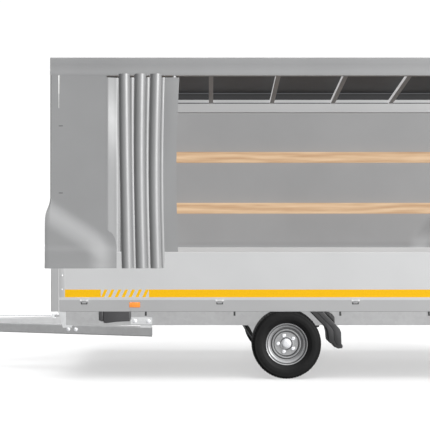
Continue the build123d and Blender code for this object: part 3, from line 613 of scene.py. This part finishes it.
def gable_height(y):
    """Height of the roof's outside at a distance from the middle."""
    eave = ROOF_LOW.z + VALANCE
    return eave + (ROOF_HIGH.z - eave) * (1 - min(abs(y) / ROOF_HIGH.y, 1))


def flare_edge(z):
    """How far the front part's free edge swings out at one height."""
    t = min(max((z - LIP_LOW) / LIP_TALL, 0), 1)
    return LIP * sqrt(1 - t * t)


def wall_point(place, z):
    x, y, ox, oy, kind = place
    rear = x > 0
    if kind == "side":
        along = WALL_X - abs(x)
        if y < 0 and not rear and along > FLARE_END - LIP_REACH:
            x += flare_edge(z) * (along - FLARE_END + LIP_REACH) / (LIP_REACH - LIP)
        out = side_flare(WALL_X - abs(x), z, rear) + skirt_gap(z)
    elif kind == "end":
        out = end_flare(z)
    else:
        out = 0
        x += copysign(end_flare(z), x) * min(1, 1.42 * abs(ox))
        y += copysign(side_flare(0, z, rear) + skirt_gap(z), y) * min(1, 1.42 * abs(oy))
    ripple = noise.noise(Vector((x * 2.2, y * 2.2, z * 0.9))) * 0.0011
    hem = 0.0012 if z < HEM_Z + HEM else 0
    out += ripple * (kind != "corner") + hem
    return Vector((BED + x + ox * out, y + oy * out, z))


def cover_walls():
    line = wall_line()
    heights = spaced(HEM_Z, HEM_Z + HEM, HEM / 2) + [HEM_Z + HEM + 0.0005]
    heights += spaced(HEM_Z + 0.045, 1.26, 0.012) + spaced(1.31, WALL_TOP, 0.06)
    rows = [[wall_point(place, z) for place in line] for z in heights]
    top = []
    for place in line:
        z = max(WALL_TOP, gable_height(place[1]) - 0.006) if place[4] == "end" else WALL_TOP
        top.append(wall_point(place, z))
    rows.append(top)
    # the inside takes the paler cloth as painted light
    walls = thicken(grid("cover_walls", rows[::-1], GREY_CLOTH), CLOTH, PAINTED_LIGHT_INSIDE_CLOTH)
    nodes = ("tarp_front", "tarp_rear", "curtain_right", "curtain_left_front", "tarp_skirts")
    put(walls, "root", "tarpaulin", *nodes)


cover_walls()


# ---- Cover: roof ----
def roof_profile(out, lift):
    """Half of the roof's section, from the valance's hem to the ridge, as (y, z) points."""
    eave = gable_height(out) + lift
    rise = (ROOF_HIGH.z - gable_height(out)) / out
    points = [(out, ROOF_LOW.z + 0.001), (out, ROOF_LOW.z + 0.022), (out - 0.0008, ROOF_LOW.z + 0.024)]
    points += [(out - 0.0008, ROOF_LOW.z + 0.07), (out - 0.0008, eave - 0.007)]
    points += [(out - 0.0016, eave - 0.0022), (out - 0.0055, eave)]
    for share in (0.05, 0.12, 0.25, 0.4, 0.55, 0.7, 0.85, 0.95, 0.985):
        y = out * (1 - share)
        points.append((y, eave + rise * (out - y)))
    points.append((0, ROOF_HIGH.z - 0.002 + lift))
    return points


def sag(x):
    """Cloth dips a little between two bows."""
    bows = (-WALL_X, -0.975, -0.5, 0, 0.5, 0.975, WALL_X)
    for a, b in zip(bows, bows[1:]):
        if a <= x <= b:
            t = (x - a) / (b - a)
            return 4 * t * (1 - t) * (b - a) / 0.5
    return 0


def roof_cover():
    half = ROOF_HIGH.x - BED - CLOTH
    profile = roof_profile(ROOF_HIGH.y - CLOTH / 2, -0.0018)
    section = [(-y, z) for y, z in profile] + [(y, z) for y, z in reversed(profile[:-1])]
    rows = []
    for x in spaced(-half, half, 0.04):
        row = []
        for y, z in section:
            if z > ROOF_LOW.z + 0.1:
                row.append((BED + x, y, z - 0.0035 * sag(x) * max(0, 1 - (abs(y) / ROOF_HIGH.y) ** 4)))
            else:
                ripple = min(0, noise.noise(Vector((x * 1.7, y * 1.7, 3))) * 0.0012)
                row.append((BED + x, y + copysign(1, y) * ripple, z + ripple))
        rows.append(row)
    roof = thicken(grid("roof_cloth", rows, GREY_CLOTH), CLOTH)
    ends = []
    for sign in (-1, 1):
        rows = []
        for drop in (0, 0.04, 0.085, 0.0855, 0.11):
            rows.append([
                (BED + sign * (half + 0.0008 + (0.0006 if drop > 0.0853 else 0)), y,
                 gable_height(y) - 0.004 - drop)
                for y in spaced(-ROOF_HIGH.y + 0.004, ROOF_HIGH.y - 0.004, 0.06)
            ])
        ends.append(thicken(grid("roof_end", rows, GREY_CLOTH), CLOTH))
    roof = joined("roof_cloth", [roof, *ends])
    put(roof, "root", "tarpaulin", "roof_cover")


def roof_painted_shade():
    """Dark sheet under the roof as painted shade on its underside, hemmed down in near-black over the inside
    of both side rails as painted shade there.
    """
    half = ROOF_HIGH.x - BED - 0.04
    inner = SIDE - 0.0295
    slope = (ROOF_HIGH.z - gable_height(ROOF_HIGH.y)) / ROOF_HIGH.y
    edge = gable_height(inner) - 0.012
    side = [(inner, ROOF_LOW.z + 0.052), (inner, ROOF_LOW.z + 0.08), (inner, edge - 0.008),
            (inner - 0.004, edge - 0.001)]
    side += [(y, edge + slope * (inner - y)) for y in (0.84, 0.7, 0.5, 0.3, 0.12)]
    section = [(-y, z) for y, z in side] + [(0, edge + slope * inner)] + side[::-1]
    rows = [[(BED + x, y, z) for y, z in section] for x in spaced(-half, half, 0.12)]
    sheet = grid("roof_painted_shade", rows, PAINTED_SHADE_LINING)
    sheet.data.materials.append(PAINTED_SHADE_HEM)
    # painted shade: the strip that hangs over the rails is near-black
    for face in sheet.data.polygons:
        if face.center.z < edge - 0.006:
            face.material_index = 1
    painted_shade_sheet = thicken(sheet, 0.0012)
    put(painted_shade_sheet, "root", "tarpaulin")


def rail_painted_shadows():
    """Black strip along the inside of each side rail: a painted shadow under the rail's lip."""
    half = EDGE_HIGH.x - BED - 0.02
    inner = SIDE - 0.0282
    strip = slab("rail_painted_shadows", (BED - half, inner - 0.0022, ROOF_LOW.z + 0.0195),
                 (BED + half, inner, ROOF_LOW.z + 0.0285), RUBBER, 0.0008)
    put_joined("rail_painted_shadows", with_mirrored([strip]), "root", "rubber")


roof_cover()
roof_painted_shade()
rail_painted_shadows()


# ---- Cover: the sliding curtain ----
CURTAIN_TOP = ROOF_LOW.z - 0.013
BOARD_GAP = BOARD_HIGH.z + 0.0035
PIPES = (  # x at the top, x at the bottom and bow between them, from the bed's middle
    (-1.0705, -1.0505, -0.003),
    (-0.966, -0.958, -0.009),
    (-0.8635, -0.8625, -0.011),
)
PIPE_R, PIPE_Y = 0.0365, -0.9215
STRIP = ((0.036, -0.906), (0.043, -0.908), (0.051, -0.9065), (0.059, -0.901), (0.064, -0.89),
         (0.068, -0.878))
START = ((-1.205, -0.899), (-1.196, -0.901), (-1.188, -0.9028), (-1.18, -0.9025),
         (-1.17, -0.8995), (-1.155, -0.8945), (-1.14, -0.8895), (-1.126, -0.8852),
         (-1.119, -0.8815), (-1.11, -0.872), (-1.1, -0.862))
START_Y = -0.9025  # the first, flat fold leans inwards from here, most at its shoulder
FINISH = ((0.036, -0.906), (0.042, -0.908), (0.049, -0.907), (0.056, -0.9045))
LEAD_START = 0.05  # the leading panel begins behind the last fold, this far from its middle


def pipe_loop():
    """Plan of one fold about its middle: a round turn that closes behind."""
    loop = []
    for angle in range(-140, 126, 22):
        turn = radians(angle)
        loop.append((PIPE_R * sin(turn), PIPE_Y - PIPE_R * cos(turn)))
    return loop


def pipe_middle(pipe, z):
    top, bottom, bow = pipe
    t = (CURTAIN_TOP - z) / (CURTAIN_TOP - HEM_Z)
    return top + (bottom - top) * t + bow * sin(pi * min(max(t, 0), 1))


def curtain_plan(z):
    """The gathered curtain's line at one height."""
    lean = 0.7 + 0.5 * exp(-((z - 1.7) / 0.22) ** 2)
    points = [(x, START_Y + (y - START_Y) * (lean if y > START_Y else 1)) for x, y in START]
    for number, pipe in enumerate(PIPES):
        middle = pipe_middle(pipe, z)
        points += [(middle + x, y) for x, y in pipe_loop()]
        rest = STRIP if number < len(PIPES) - 1 else FINISH
        step = 1 if number == len(PIPES) - 1 else (pipe_middle(PIPES[number + 1], z) - middle) / 0.1
        points += [(middle + x * step, y) for x, y in rest]
    return smooth_line(points, 4)


def curtain_folds():
    """Outside the board the cloth hangs lower, and outside the rail it reaches higher."""
    rows = []
    for share in spaced(0, 1, 1 / 44):
        row = []
        for x, y in curtain_plan(HEM_Z + (CURTAIN_TOP - HEM_Z) * share):
            outside = ease((-y - 0.9035) / 0.002)
            low = BOARD_GAP + (HEM_Z - BOARD_GAP) * outside
            high = CURTAIN_TOP + 0.0185 * ease((-y - 0.9095) / 0.012)
            z = low + (high - low) * share
            ripple = noise.noise(Vector((x * 14, z * 1.3, 7))) * 0.0016
            row.append((BED + x + ripple, y, z))
        rows.append(row)
    folds = thicken(grid("curtain_cloth", rows, CURTAIN_CLOTH), CLOTH)
    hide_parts("curtain_folds")
    length = sum((b - a).length for a, b in zip(curtain_plan(1.4), curtain_plan(1.4)[1:]))
    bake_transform(folds)


def lead_edge(z):
    """The lead panel's free edge bows inwards between its ends."""
    t = (CURTAIN_TOP - z) / (CURTAIN_TOP - BOARD_GAP)
    return LEAD_HIGH.x - BED + 0.018 - 0.008 * t - 0.015 * sin(pi * t)


def curtain_lead():
    rows = []
    for z in spaced(BOARD_GAP, CURTAIN_TOP, 0.03):
        left, right = pipe_middle(PIPES[-1], z) + LEAD_START, lead_edge(z)
        row = []
        for share in (0, 0.08, 0.2, 0.35, 0.5, 0.62, 0.72, 0.86, 1):
            x = left + (right - left) * share
            y = -0.8998 - 0.001 * sin(pi * share) * (1 + sin(z * 4))
            row.append((BED + x, y, z))
        rows.append(row)
    panel = thicken(grid("curtain_lead_cloth", rows, CURTAIN_CLOTH), CLOTH)
    put(panel, "curtain_lead", "tarpaulin", "curtain_lead")


curtain_folds()
curtain_lead()


# ---- Cover: small marks ----
def slot_shadow_marks():
    """Dark marks on the fixed front part of the cover: painted shadows of its strap slots."""
    x = BED - 1.489
    shadow_marks = []
    for z in (1.674, 1.233):
        shadow_marks.append(slab("dark_mark", (x - 0.013, -WALL_Y - 0.0022, z - 0.003),
                          (x + 0.013, -WALL_Y - 0.0004, z + 0.003), SLOT_SHADOW_CLOTH, 0.0007))
    put_joined("slot_shadow_marks", with_mirrored(shadow_marks), "root", "tarpaulin")


def corner_painted_highlight():
    """White strip in the seam above the front post: a painted highlight, wider at the top and narrower below.
    """
    x = BED - 1.5025
    pieces = []
    for low, high, half in ((1.885, ROOF_LOW.z + 0.002, 0.0022), (1.79, 1.885, 0.0011)):
        pieces.append(slab("highlight_strip", (x - half, -WALL_Y - 0.003, low), (x + half, -WALL_Y - 0.0002, high),
                           PAINTED_HIGHLIGHT, 0.0009))
    put_joined("corner_painted_highlight", with_mirrored(pieces), "root", "tarpaulin")


slot_shadow_marks()
corner_painted_highlight()


# ---- Boards: stripe and end caps ----
STRIPE_LOW = EDGE_HIGH.z + 0.0145
STRIPE_TALL = 0.051
CAP_WIDE = 0.036
HINGES = (-1.336, -0.446, 0.446, 1.336)  # from the bed's middle
BOARDS = ("left_board", "right_board")


def stripe():
    """Reflective tape along a side board, with slanted bars in one gap."""
    low, high = STRIPE_LOW, STRIPE_LOW + STRIPE_TALL
    start, end = BOARD_LOW.x + CAP_WIDE, BOARD_HIGH.x - CAP_WIDE
    gap_start, gap_end = start + 0.236, start + 0.552

    def tape(x0, x1, lean=0):
        outline = [(x0, low), (x1, low), (x1 + lean, high), (x0 + lean, high)]
        return prism("tape", outline, -SIDE - 0.0007, -SIDE + 0.0002, YELLOW, bevel=0)

    tapes = [tape(start, gap_start), tape(gap_end, end)]
    bars = 7
    pitch = (gap_end - gap_start) / bars
    for i in range(bars):
        x = gap_start + (i + 0.28) * pitch - 0.012
        tapes.append(tape(x, x + 0.46 * pitch, 0.024))
    put_both("stripe", tapes, "aluminium", bodies=BOARDS)


def board_caps():
    """Pressed cap over each end of a side board, with three rivets."""
    wide = CAP_WIDE + 0.001
    caps = []
    for x in (BOARD_LOW.x - 0.001, BOARD_HIGH.x - CAP_WIDE):
        caps.append(slab("cap", (x, -SIDE - 0.0014, 0.5385), (x + wide, -SIDE + 0.001, BOARD_HIGH.z + 0.0005),
                         CAP_METAL, 0.0008))
        for z in (0.6, 0.69, 0.78):
            profile = [(0, -SIDE - 0.0034), (0.003, -SIDE - 0.003), (0.0048, -SIDE - 0.0014)]
            caps.append(lathe("rivet", profile, ZINC, x + wide / 2, z, 14, closed=False))
    put_both("board_caps", caps, "aluminium", bodies=BOARDS)


def hinge_painted_shadows():
    """Black blocks round the lug of each side hinge, on the deck's edge: a painted shadow under each hinge.
    """
    shadow_blocks = []
    for x in HINGES:
        for start, end, top in ((-0.021, 0.021, 0.5072), (-0.021, -0.0148, 0.5145), (0.0148, 0.021, 0.5145)):
            # painted shadow: each dark block stands below a hinge's lip
            shadow_blocks.append(slab("rest", (BED + x + start, -SIDE - 0.0104, 0.502),
                              (BED + x + end, -SIDE + 0.0004, top), RUBBER, 0.001))
    put_joined("hinge_painted_shadows", with_mirrored(shadow_blocks), "root", "rubber")


stripe()
board_caps()
hinge_painted_shadows()


# ---- Wheels ----
TREAD_PITCHES = 72
STUD_R = 0.056  # radius of the wheel bolts' circle


def tread(radius, y, angle):
    """Cuts sipes across the tread, on both sides of its middle rib."""
    across = abs(abs(y) - WHEEL_Y)
    if radius < WHEEL_R - 0.012 or across > 0.088:
        return radius
    turn = angle * TREAD_PITCHES / (2 * pi) + across * 9
    sipe = (turn % 1) < 0.22
    return radius - (0.0045 if sipe and across > 0.022 else 0)


def tyre_profile():
    """Section of a tyre as (radius, offset from its middle), in mm."""
    outside = [(129, 70.5), (137, 71.2), (139.2, 74.5), (141.2, 82), (147.5, 86.8), (156, 90.5), (164, 93.5),
               (165.5, 94.8), (169, 95), (170.5, 95.2), (185, 97), (198, 95.8), (208, 92.5), (210, 93),
               (213, 91.5), (215, 90), (222, 83.5), (227.5, 74.5), (229, 69)]
    for groove in (52, 18):
        outside += [(230.2, groove + 5.5), (223, groove + 3.5), (223, groove - 3.5), (230.6, groove - 5.5)]
    inside = [(129, 60), (145, 64), (170, 85), (195, 88), (212, 78), (218, 60)]
    ring = outside + [(231, 0)] + [(r, -w) for r, w in reversed(outside)]
    return ring + [(r, -w) for r, w in inside] + [(219.5, 0)] + [(r, w) for r, w in reversed(inside)]


def rim_profile():
    """Section of the rim and its disc as (radius, distance from the trailer's middle), in mm."""
    back = [(137.2, 836), (138.5, 834.5), (138.5, 832), (136, 830), (132.5, 824), (129, 818), (127.5, 808),
            (122, 797.5), (116.5, 794.5), (112, 793), (108.5, 788), (107.5, 780), (108, 745), (111, 728),
            (127, 714), (128, 686), (137, 683), (138.5, 680), (137.2, 678.5), (125, 681), (123.5, 711),
            (107.5, 724), (104.5, 745), (103.5, 776), (100, 785), (96, 796), (91.5, 796), (87, 790),
            (82, 785), (34.5, 785)]
    front = [(34.5, 789.5), (38, 791.5), (45, 791.5), (47, 789.5), (48.5, 789.3), (75, 789.3), (76.5, 789.5),
             (78.5, 790.3), (80.5, 789.3), (82.5, 789.5), (84.5, 793), (86.8, 800.5), (89.5, 803.8),
             (93.5, 804), (96.8, 801), (99, 795), (101.5, 791.5), (105, 792), (108.5, 796.5), (111, 806),
             (114, 812.5), (118, 814.5), (122, 815.5), (125, 819), (128, 827.5), (130.8, 833), (134, 834.5)]
    return back + front


def wheel(side, body, name):
    """Tyre, rim, drum, cap and bolts of one wheel. side is -1 on the left."""

    def turned(part, profile, paint, turns, x=BED, z=WHEEL_Z, **how):
        return lathe(part, [(r / 1000, side * y / 1000) for r, y in profile], paint, x, z, turns, **how)

    studs = []
    for i in range(5):
        angle = radians((36 if side < 0 else 144) + 72 * i)
        studs.append((BED + STUD_R * cos(angle), WHEEL_Z + STUD_R * sin(angle)))

    section = [(min(r / 1000, WHEEL_R), side * WHEEL_Y + w / 1000) for r, w in tyre_profile()]
    tyre = lathe(f"tyre_detail_{name}", section, TYRE, BED, WHEEL_Z, TREAD_PITCHES * 5, bend=tread)
    put(tyre, body, "tyre", f"tyre_{name}")

    rim = turned("rim", rim_profile(), SILVER, 128)
    seat = [(16.5, 789.3), (15, 792.5), (12, 793.5), (9.5, 792.2), (9.5, 789)]
    seats = [turned("seat", seat, SILVER, 32, x, z, closed=False) for x, z in studs]
    put_joined(f"rim_detail_{name}", [rim, *seats], body, "rim_paint", f"rim_{name}")

    drum = [(40, 644), (40, 712), (88, 712), (88, 644), (99, 644), (99, 650), (97, 652), (97, 712), (93, 719),
            (50, 723.5), (45, 730), (45, 770), (48, 774), (72, 774), (72, 784.5), (33, 784.5), (33, 781),
            (16, 781), (16, 644)]
    bolt = [(11.8, 792.5), (11.6, 795.5), (9.5, 796.2), (9.2, 796.5), (9.2, 804.5), (8, 806.2), (4.8, 806.2),
            (4.2, 803), (0, 803)]
    cap = [(33.5, 789.5), (33.2, 793), (31.8, 794.5), (31.2, 806), (29.5, 814), (25, 818.5), (18, 820.8),
           (9, 821.8), (0, 822)]
    head = hexagon(0.0079, 0.0094, 0.055)
    hub = [turned("drum", drum, DRUM, 72)]
    hub += [turned("bolt", bolt, ZINC, 24, x, z, closed=False, bend=head) for x, z in studs]
    hub.append(turned("cap", cap, ZINC, 64, closed=False))
    put_joined(f"hub_detail_{name}", hub, body, "drum_casting", f"hub_{name}")


wheel(-1, "left_wheel", "left")
wheel(1, "right_wheel", "right")


# ---- Mudguards, chocks, markers and lamps ----
def moved(points):
    """Outline in metres from (distance behind the wheels' axis, height) in mm."""
    return [(BED + x / 1000, z / 1000) for x, z in points]


def mudguard():
    """Quarter mudguard: a flanged band that follows the tyre, a stepped foot and an upper gusset."""
    back = [(361, 238), (359, 312), (348, 338), (320, 368), (243, 446)]
    band = moved([(158, 446), (262, 338), (271, 308), (276, 256), (284, 240), (306, 235), (312, 216),
                  (338, 204), (368, 207), (371, 223), *back])
    rim = moved([(196, 446), (296, 343), (308, 322), (312, 262), (330, 228), (361, 224), *back])
    gusset = moved([(252, 447), (276, 444), (303, 431), (316, 414), (318, 374), (314, 374)])
    outer = TYRE_LOW.y - 0.0015
    pieces = [
        prism("band", band, outer + 0.006, outer + 0.203, PLASTIC, bevel=0.005, segments=4),
        prism("band_rim", rim, outer, outer + 0.012, PLASTIC, bevel=0.004, segments=4),
        prism("gusset", gusset, outer + 0.016, outer + 0.19, PLASTIC, bevel=0.004),
    ]
    for i in range(3):
        rib = moved([(262 + 16 * i, 444 - 4 * i), (267 + 16 * i, 443 - 4 * i), (315 + i, 392 - 9 * i),
                     (310 + i, 388 - 9 * i)])
        pieces.append(prism("rib", rib, outer + 0.009, outer + 0.018, PLASTIC, bevel=0.0015))
    put_both("mudguard", pieces, "black_plastic", "mudguards")


def chock():
    """Folded wheel chock in its holder: a ramp, a short upright flange and a strap between them."""
    low, high = corners("wheel_chocks")
    top = high.z - 0.0005
    x0, x1 = low.x, high.x
    flange = [(x0 + 0.0005, top), (x0 + 0.0005, top - 0.064), (x0 + 0.027, top - 0.073), (x0 + 0.027, top)]
    body = [(x0 + 0.031, top), (x0 + 0.031, top - 0.08), (x0 + 0.05, top - 0.0835),
            (x0 + 0.11, top - 0.075), (x0 + 0.16, top - 0.0715), (x1 - 0.0005, top - 0.0705),
            (x1 - 0.0005, top)]
    near = -0.8195
    pieces = [prism("flange", flange, near, near + 0.118, CHOCK_PLASTIC, bevel=0.004),
              prism("ramp", body, near + 0.002, near + 0.1165, CHOCK_PLASTIC, bevel=0.006, segments=4)]
    strap = slab("strap", (x0 + 0.027, near + 0.006, top - 0.07), (x0 + 0.0312, near + 0.112, top),
                 RUBBER, 0.0005)
    put_both("chock", [*pieces, strap], "black_plastic", "wheel_chocks")


def side_markers():
    low, high = corners("side_markers")
    made = []
    for x in (low.x + 0.036, high.x - 0.036):
        base = slab("base", (x - 0.036, -SIDE - 0.0025, low.z + 0.0004), (x + 0.036, -SIDE, high.z - 0.0004),
                    PLASTIC, 0.001)
        face = slab("face", (x - 0.0355, -SIDE - 0.008, low.z + 0.001),
                    (x + 0.0355, -SIDE - 0.002, high.z - 0.001), AMBER, 0.002)
        made += with_mirrored([base, face])
    put_joined("marker_lamps", made, "root", "amber_lens", "side_markers")


def rear_lamps():
    """Housing with an amber, a red and a clear glass, from the outside to the inside."""
    low, high = corners("rear_lamps")
    y0, y1 = -high.y, -0.62
    wide = y1 - y0 - 0.008
    made = [slab("housing", (low.x, y0, low.z), (high.x - 0.008, y1, high.z), PLASTIC, 0.005)]
    for start, end, paint in ((0, 0.3, AMBER), (0.31, 0.72, RED), (0.73, 1, CLEAR)):
        made.append(slab("glass", (high.x - 0.009, y0 + 0.004 + start * wide, low.z + 0.004),
                         (high.x, y0 + 0.004 + end * wide, high.z - 0.004), paint, 0.003))
    put_joined("tail_lamps", with_mirrored(made), "root", "red_lens", "rear_lamps")


def front_markers():
    """White front lamps, each on a clip from the inside of a gusset."""
    gusset = corners("drawbar_brackets")[0]
    x, y = gusset.x - 0.022, gusset.y + 0.035
    made = [slab("glass", (x - 0.013, y - 0.022, 0.386), (x + 0.013, y + 0.022, 0.421), CLEAR, 0.003),
            slab("clip", (x + 0.005, gusset.y + 0.0095, 0.395), (x + 0.04, gusset.y + 0.0125, 0.412), STEEL,
                 0.0006)]
    put_joined("front_lamps", with_mirrored(made), "root", "amber_lens")


mudguard()
chock()
side_markers()
rear_lamps()
front_markers()


# ---- Drawbar: bolts, gaiter and jockey wheel ----
def flange_bolt(x, y, z, slope):
    """Bright hexagon bolt whose axis leaves the left side. slope is its turn towards the front."""
    profile = [(0.0145, 0), (0.0145, 0.002), (0.0128, 0.0034), (0.0112, 0.0036), (0.0112, 0.0098),
               (0.0095, 0.011), (0, 0.011)]
    bolt = lathe("bolt", [(r, -d) for r, d in profile], ZINC, 0, 0, 36, closed=False,
                 bend=hexagon(0.0094, 0.0114, 0.06))
    turn = atan(slope)
    return reshaped(bolt, lambda a, b, c: (x + a * cos(turn) + b * sin(turn),
                                           y - a * sin(turn) + b * cos(turn), z + c))


def drawbar_bolts():
    rear = corners("drawbar_beams")[1].x
    slope = 0.309
    made = [flange_bolt(BED + x, -0.625, 0.366, 0) for x in (-1.024, -0.932)]
    half = 0.03 * hypot(1, slope)
    for x in (-1.507, -1.453):
        y = 0.552 - slope * (rear - BED - x) + half
        made.append(flange_bolt(BED + x, -y, 0.29, slope))
    put_joined("flange_bolts", with_mirrored(made), "root", "zinc_plate")


def gaiter():
    """Rubber bellows round the coupling shaft."""
    low, high = corners("coupling_bellows")
    z, folds = (low.z + high.z) / 2, 8
    outer, deep = (high.z - low.z) / 2 - 0.001, 0.01
    profile = []
    for t in spaced(0, 1, 0.1 / folds):
        wave = 0.5 - 0.5 * cos(2 * pi * folds * t)
        cuff = 1 if 0.05 < t < 0.95 else 0.25
        profile.append((outer - deep + deep * wave * cuff, low.x + (high.x - low.x) * t))
    inner = outer - deep - 0.0025
    rubber = lathe("gaiter", profile + [(inner, high.x), (inner, low.x)], RUBBER, 0, 0, 64)
    reshaped(rubber, lambda a, b, c: (b, -a, c + z))
    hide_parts("coupling_bellows")
    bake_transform(rubber)


def jockey_tyre():
    """Solid rubber tyre on a spoked plastic centre."""
    low, high = corners("jockey_wheel")
    x, y, z = (low + high) / 2
    r, half = (high.z - low.z) / 2, (high.y - low.y) / 2
    tread_line = [(0.068, -0.7), (0.072, -0.86), (0.08, -0.95), (0.088, -0.9), (0.094, -0.72),
                  (0.0985, -0.35), (0.1, 0)]
    ring = [(a * r / 0.1, y + b * half) for a, b in tread_line]
    ring += [(a * r / 0.1, y - b * half) for a, b in reversed(tread_line[:-1])]
    ring += [(0.066 * r / 0.1, y + 0.5 * half), (0.066 * r / 0.1, y - 0.5 * half)]
    rubber = lathe("rubber", ring, RUBBER, x, z, 96)
    centre = [(0.0086, -1), (0.0215, -1), (0.0235, -0.3), (0.058, -0.24), (0.0605, -0.62), (0.0668, -0.66)]
    disc = [(a, y + b * half) for a, b in centre] + [(a, y - b * half) for a, b in reversed(centre)]
    hub = lathe("hub", disc, PLASTIC, x, z, 72)
    ribs = []
    for k in range(8):
        angle = radians(45 * k)
        along, up = cos(angle), sin(angle)
        for near, far in ((-0.62, -0.3), (0.3, 0.62)):
            rib = slab("rib", (0.022, y + near * half, -0.002), (0.06, y + far * half, 0.002),
                       PLASTIC, 0.0008)
            ribs.append(reshaped(rib, lambda a, b, c: (x + a * along - c * up, b, z + a * up + c * along)))
    put_joined("jockey_wheel_detail", [rubber, hub, *ribs], "jockey_wheel", "rubber", "jockey_wheel")


def crank_grip():
    """Ribbed grip on the jockey wheel's crank."""
    low, high = corners("jockey_crank")
    x, y, top = high.x - 0.014, (low.y + high.y) / 2, high.z
    handle = [(0, top + 0.0006), (0.01, top + 0.0002), (0.0137, top - 0.004)]
    handle += [(0.0137 - 0.0008 * (i % 2), top - 0.006 - 0.006 * i) for i in range(12)]
    handle += [(0.0137, top - 0.08), (0.012, top - 0.086)]
    knob = lathe("crank_grip", handle, PLASTIC, 0, 0, 36, closed=False)
    reshaped(knob, lambda a, b, c: (x + a, y + c, b))
    put(face_out(knob), "jockey_crank", "black_plastic")


drawbar_bolts()
gaiter()
jockey_tyre()
crank_grip()


# ---- Camera, light and floor ----
def lamp(name, kind, power, **settings):
    """A light without shadows."""
    data = bpy.data.lights.new(name, kind)
    data.energy, data.use_shadow = power, False
    for key, value in settings.items():
        setattr(data, key, value)
    return add_object(name, data)


def sun(name, across, up, power, angle):
    """A broad light. across and up are its angles in degrees from straight ahead."""
    made = lamp(name, "SUN", power, angle=radians(angle))
    made.rotation_euler = (radians(90 - up), 0, radians(across))
    return made


def light_only(made, lit, shadow):
    """Makes a light shine on one object alone."""
    made.data.use_shadow = shadow
    made.light_linking.receiver_collection = bpy.data.collections.new(made.name)
    made.light_linking.receiver_collection.objects.link(lit)


def backdrop():
    """White to the camera, and a dim even light to everything else."""
    world = bpy.data.worlds.new("studio")
    world.use_nodes = True
    tree = world.node_tree
    tree.nodes.clear()
    path = add_node(tree, "LightPath")
    dim = add_node(tree, "Background", {"Color": (0.95, 0.97, 1, 1), "Strength": 0.21})
    white = add_node(tree, "Background", {"Color": (1, 1, 1, 1), "Strength": 1.05})
    sources = {0: path.outputs["Is Camera Ray"], 1: dim.outputs[0], 2: white.outputs[0]}
    choose = add_node(tree, "MixShader", sources)
    add_node(tree, "OutputWorld", {"Surface": choose.outputs[0]})
    bpy.context.scene.world = world
    bpy.context.scene.view_settings.view_transform = "Standard"


def studio(ground):
    """Soft light, two lights that shade the floor alone, and one for the roof bows alone."""
    softbox = lamp("softbox", "AREA", 440, shape="RECTANGLE", size=7.5, size_y=2.2)
    softbox.location = (BED + 7.24, -8.36, 3.7)
    aim = Vector((BED - 0.96, -0.96, 1.5))
    softbox.rotation_euler = (aim - softbox.location).to_track_quat("-Z", "Y").to_euler()
    sun("key", 48, 17, 3.75, 14)
    sun("top", 10, 72, 2, 30)
    sun("back", 190, 24, 1.7, 40)
    light_only(sun("floor_shade", 0, 84, 2.2, 50), ground, True)
    light_only(sun("tyre_shade", 12, 46, 0.9, 50), ground, True)
    light_only(sun("bow_light", -72, 6, 5, 10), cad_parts["roof_bows"], False)


def floor():
    """Pale floor that looks white to the camera and throws little light back up."""
    paint = Paint("studio_floor", 0.7)
    paint.colour(paint.noise(0.4, 2), (0.5, 0.5, 0.5), (0.52, 0.52, 0.52))
    paint.bump((paint.noise(40), 0.0001))
    dull = paint.node("BsdfDiffuse", {"Color": (0.16, 0.16, 0.16, 1)})
    path = paint.node("LightPath")
    shader, output = (paint.tree.nodes[name] for name in ("Principled BSDF", "Material Output"))
    sources = {0: path.outputs["Is Camera Ray"], 1: dull.outputs[0], 2: shader.outputs[0]}
    choose = paint.node("MixShader", sources)
    fill(paint.tree, output, {"Surface": choose.outputs[0]})
    far = 60
    ground = grid("studio_floor", [[(-far, y, 0), (far, y, 0)] for y in (-far, far)], paint.material)
    return ground


def camera():
    data = bpy.data.cameras.new("view")
    data.sensor_width = 36
    data.lens = 89.67
    data.shift_x, data.shift_y = 0.014, 0.0309
    data.clip_end = 200
    eye = add_object("view", data)
    eye.location = (BED - 0.516, -SIDE - 7.04, 1.001)
    eye.rotation_euler = (radians(90), 0, 0)
    bpy.context.scene.camera = eye


backdrop()
studio(floor())
camera()
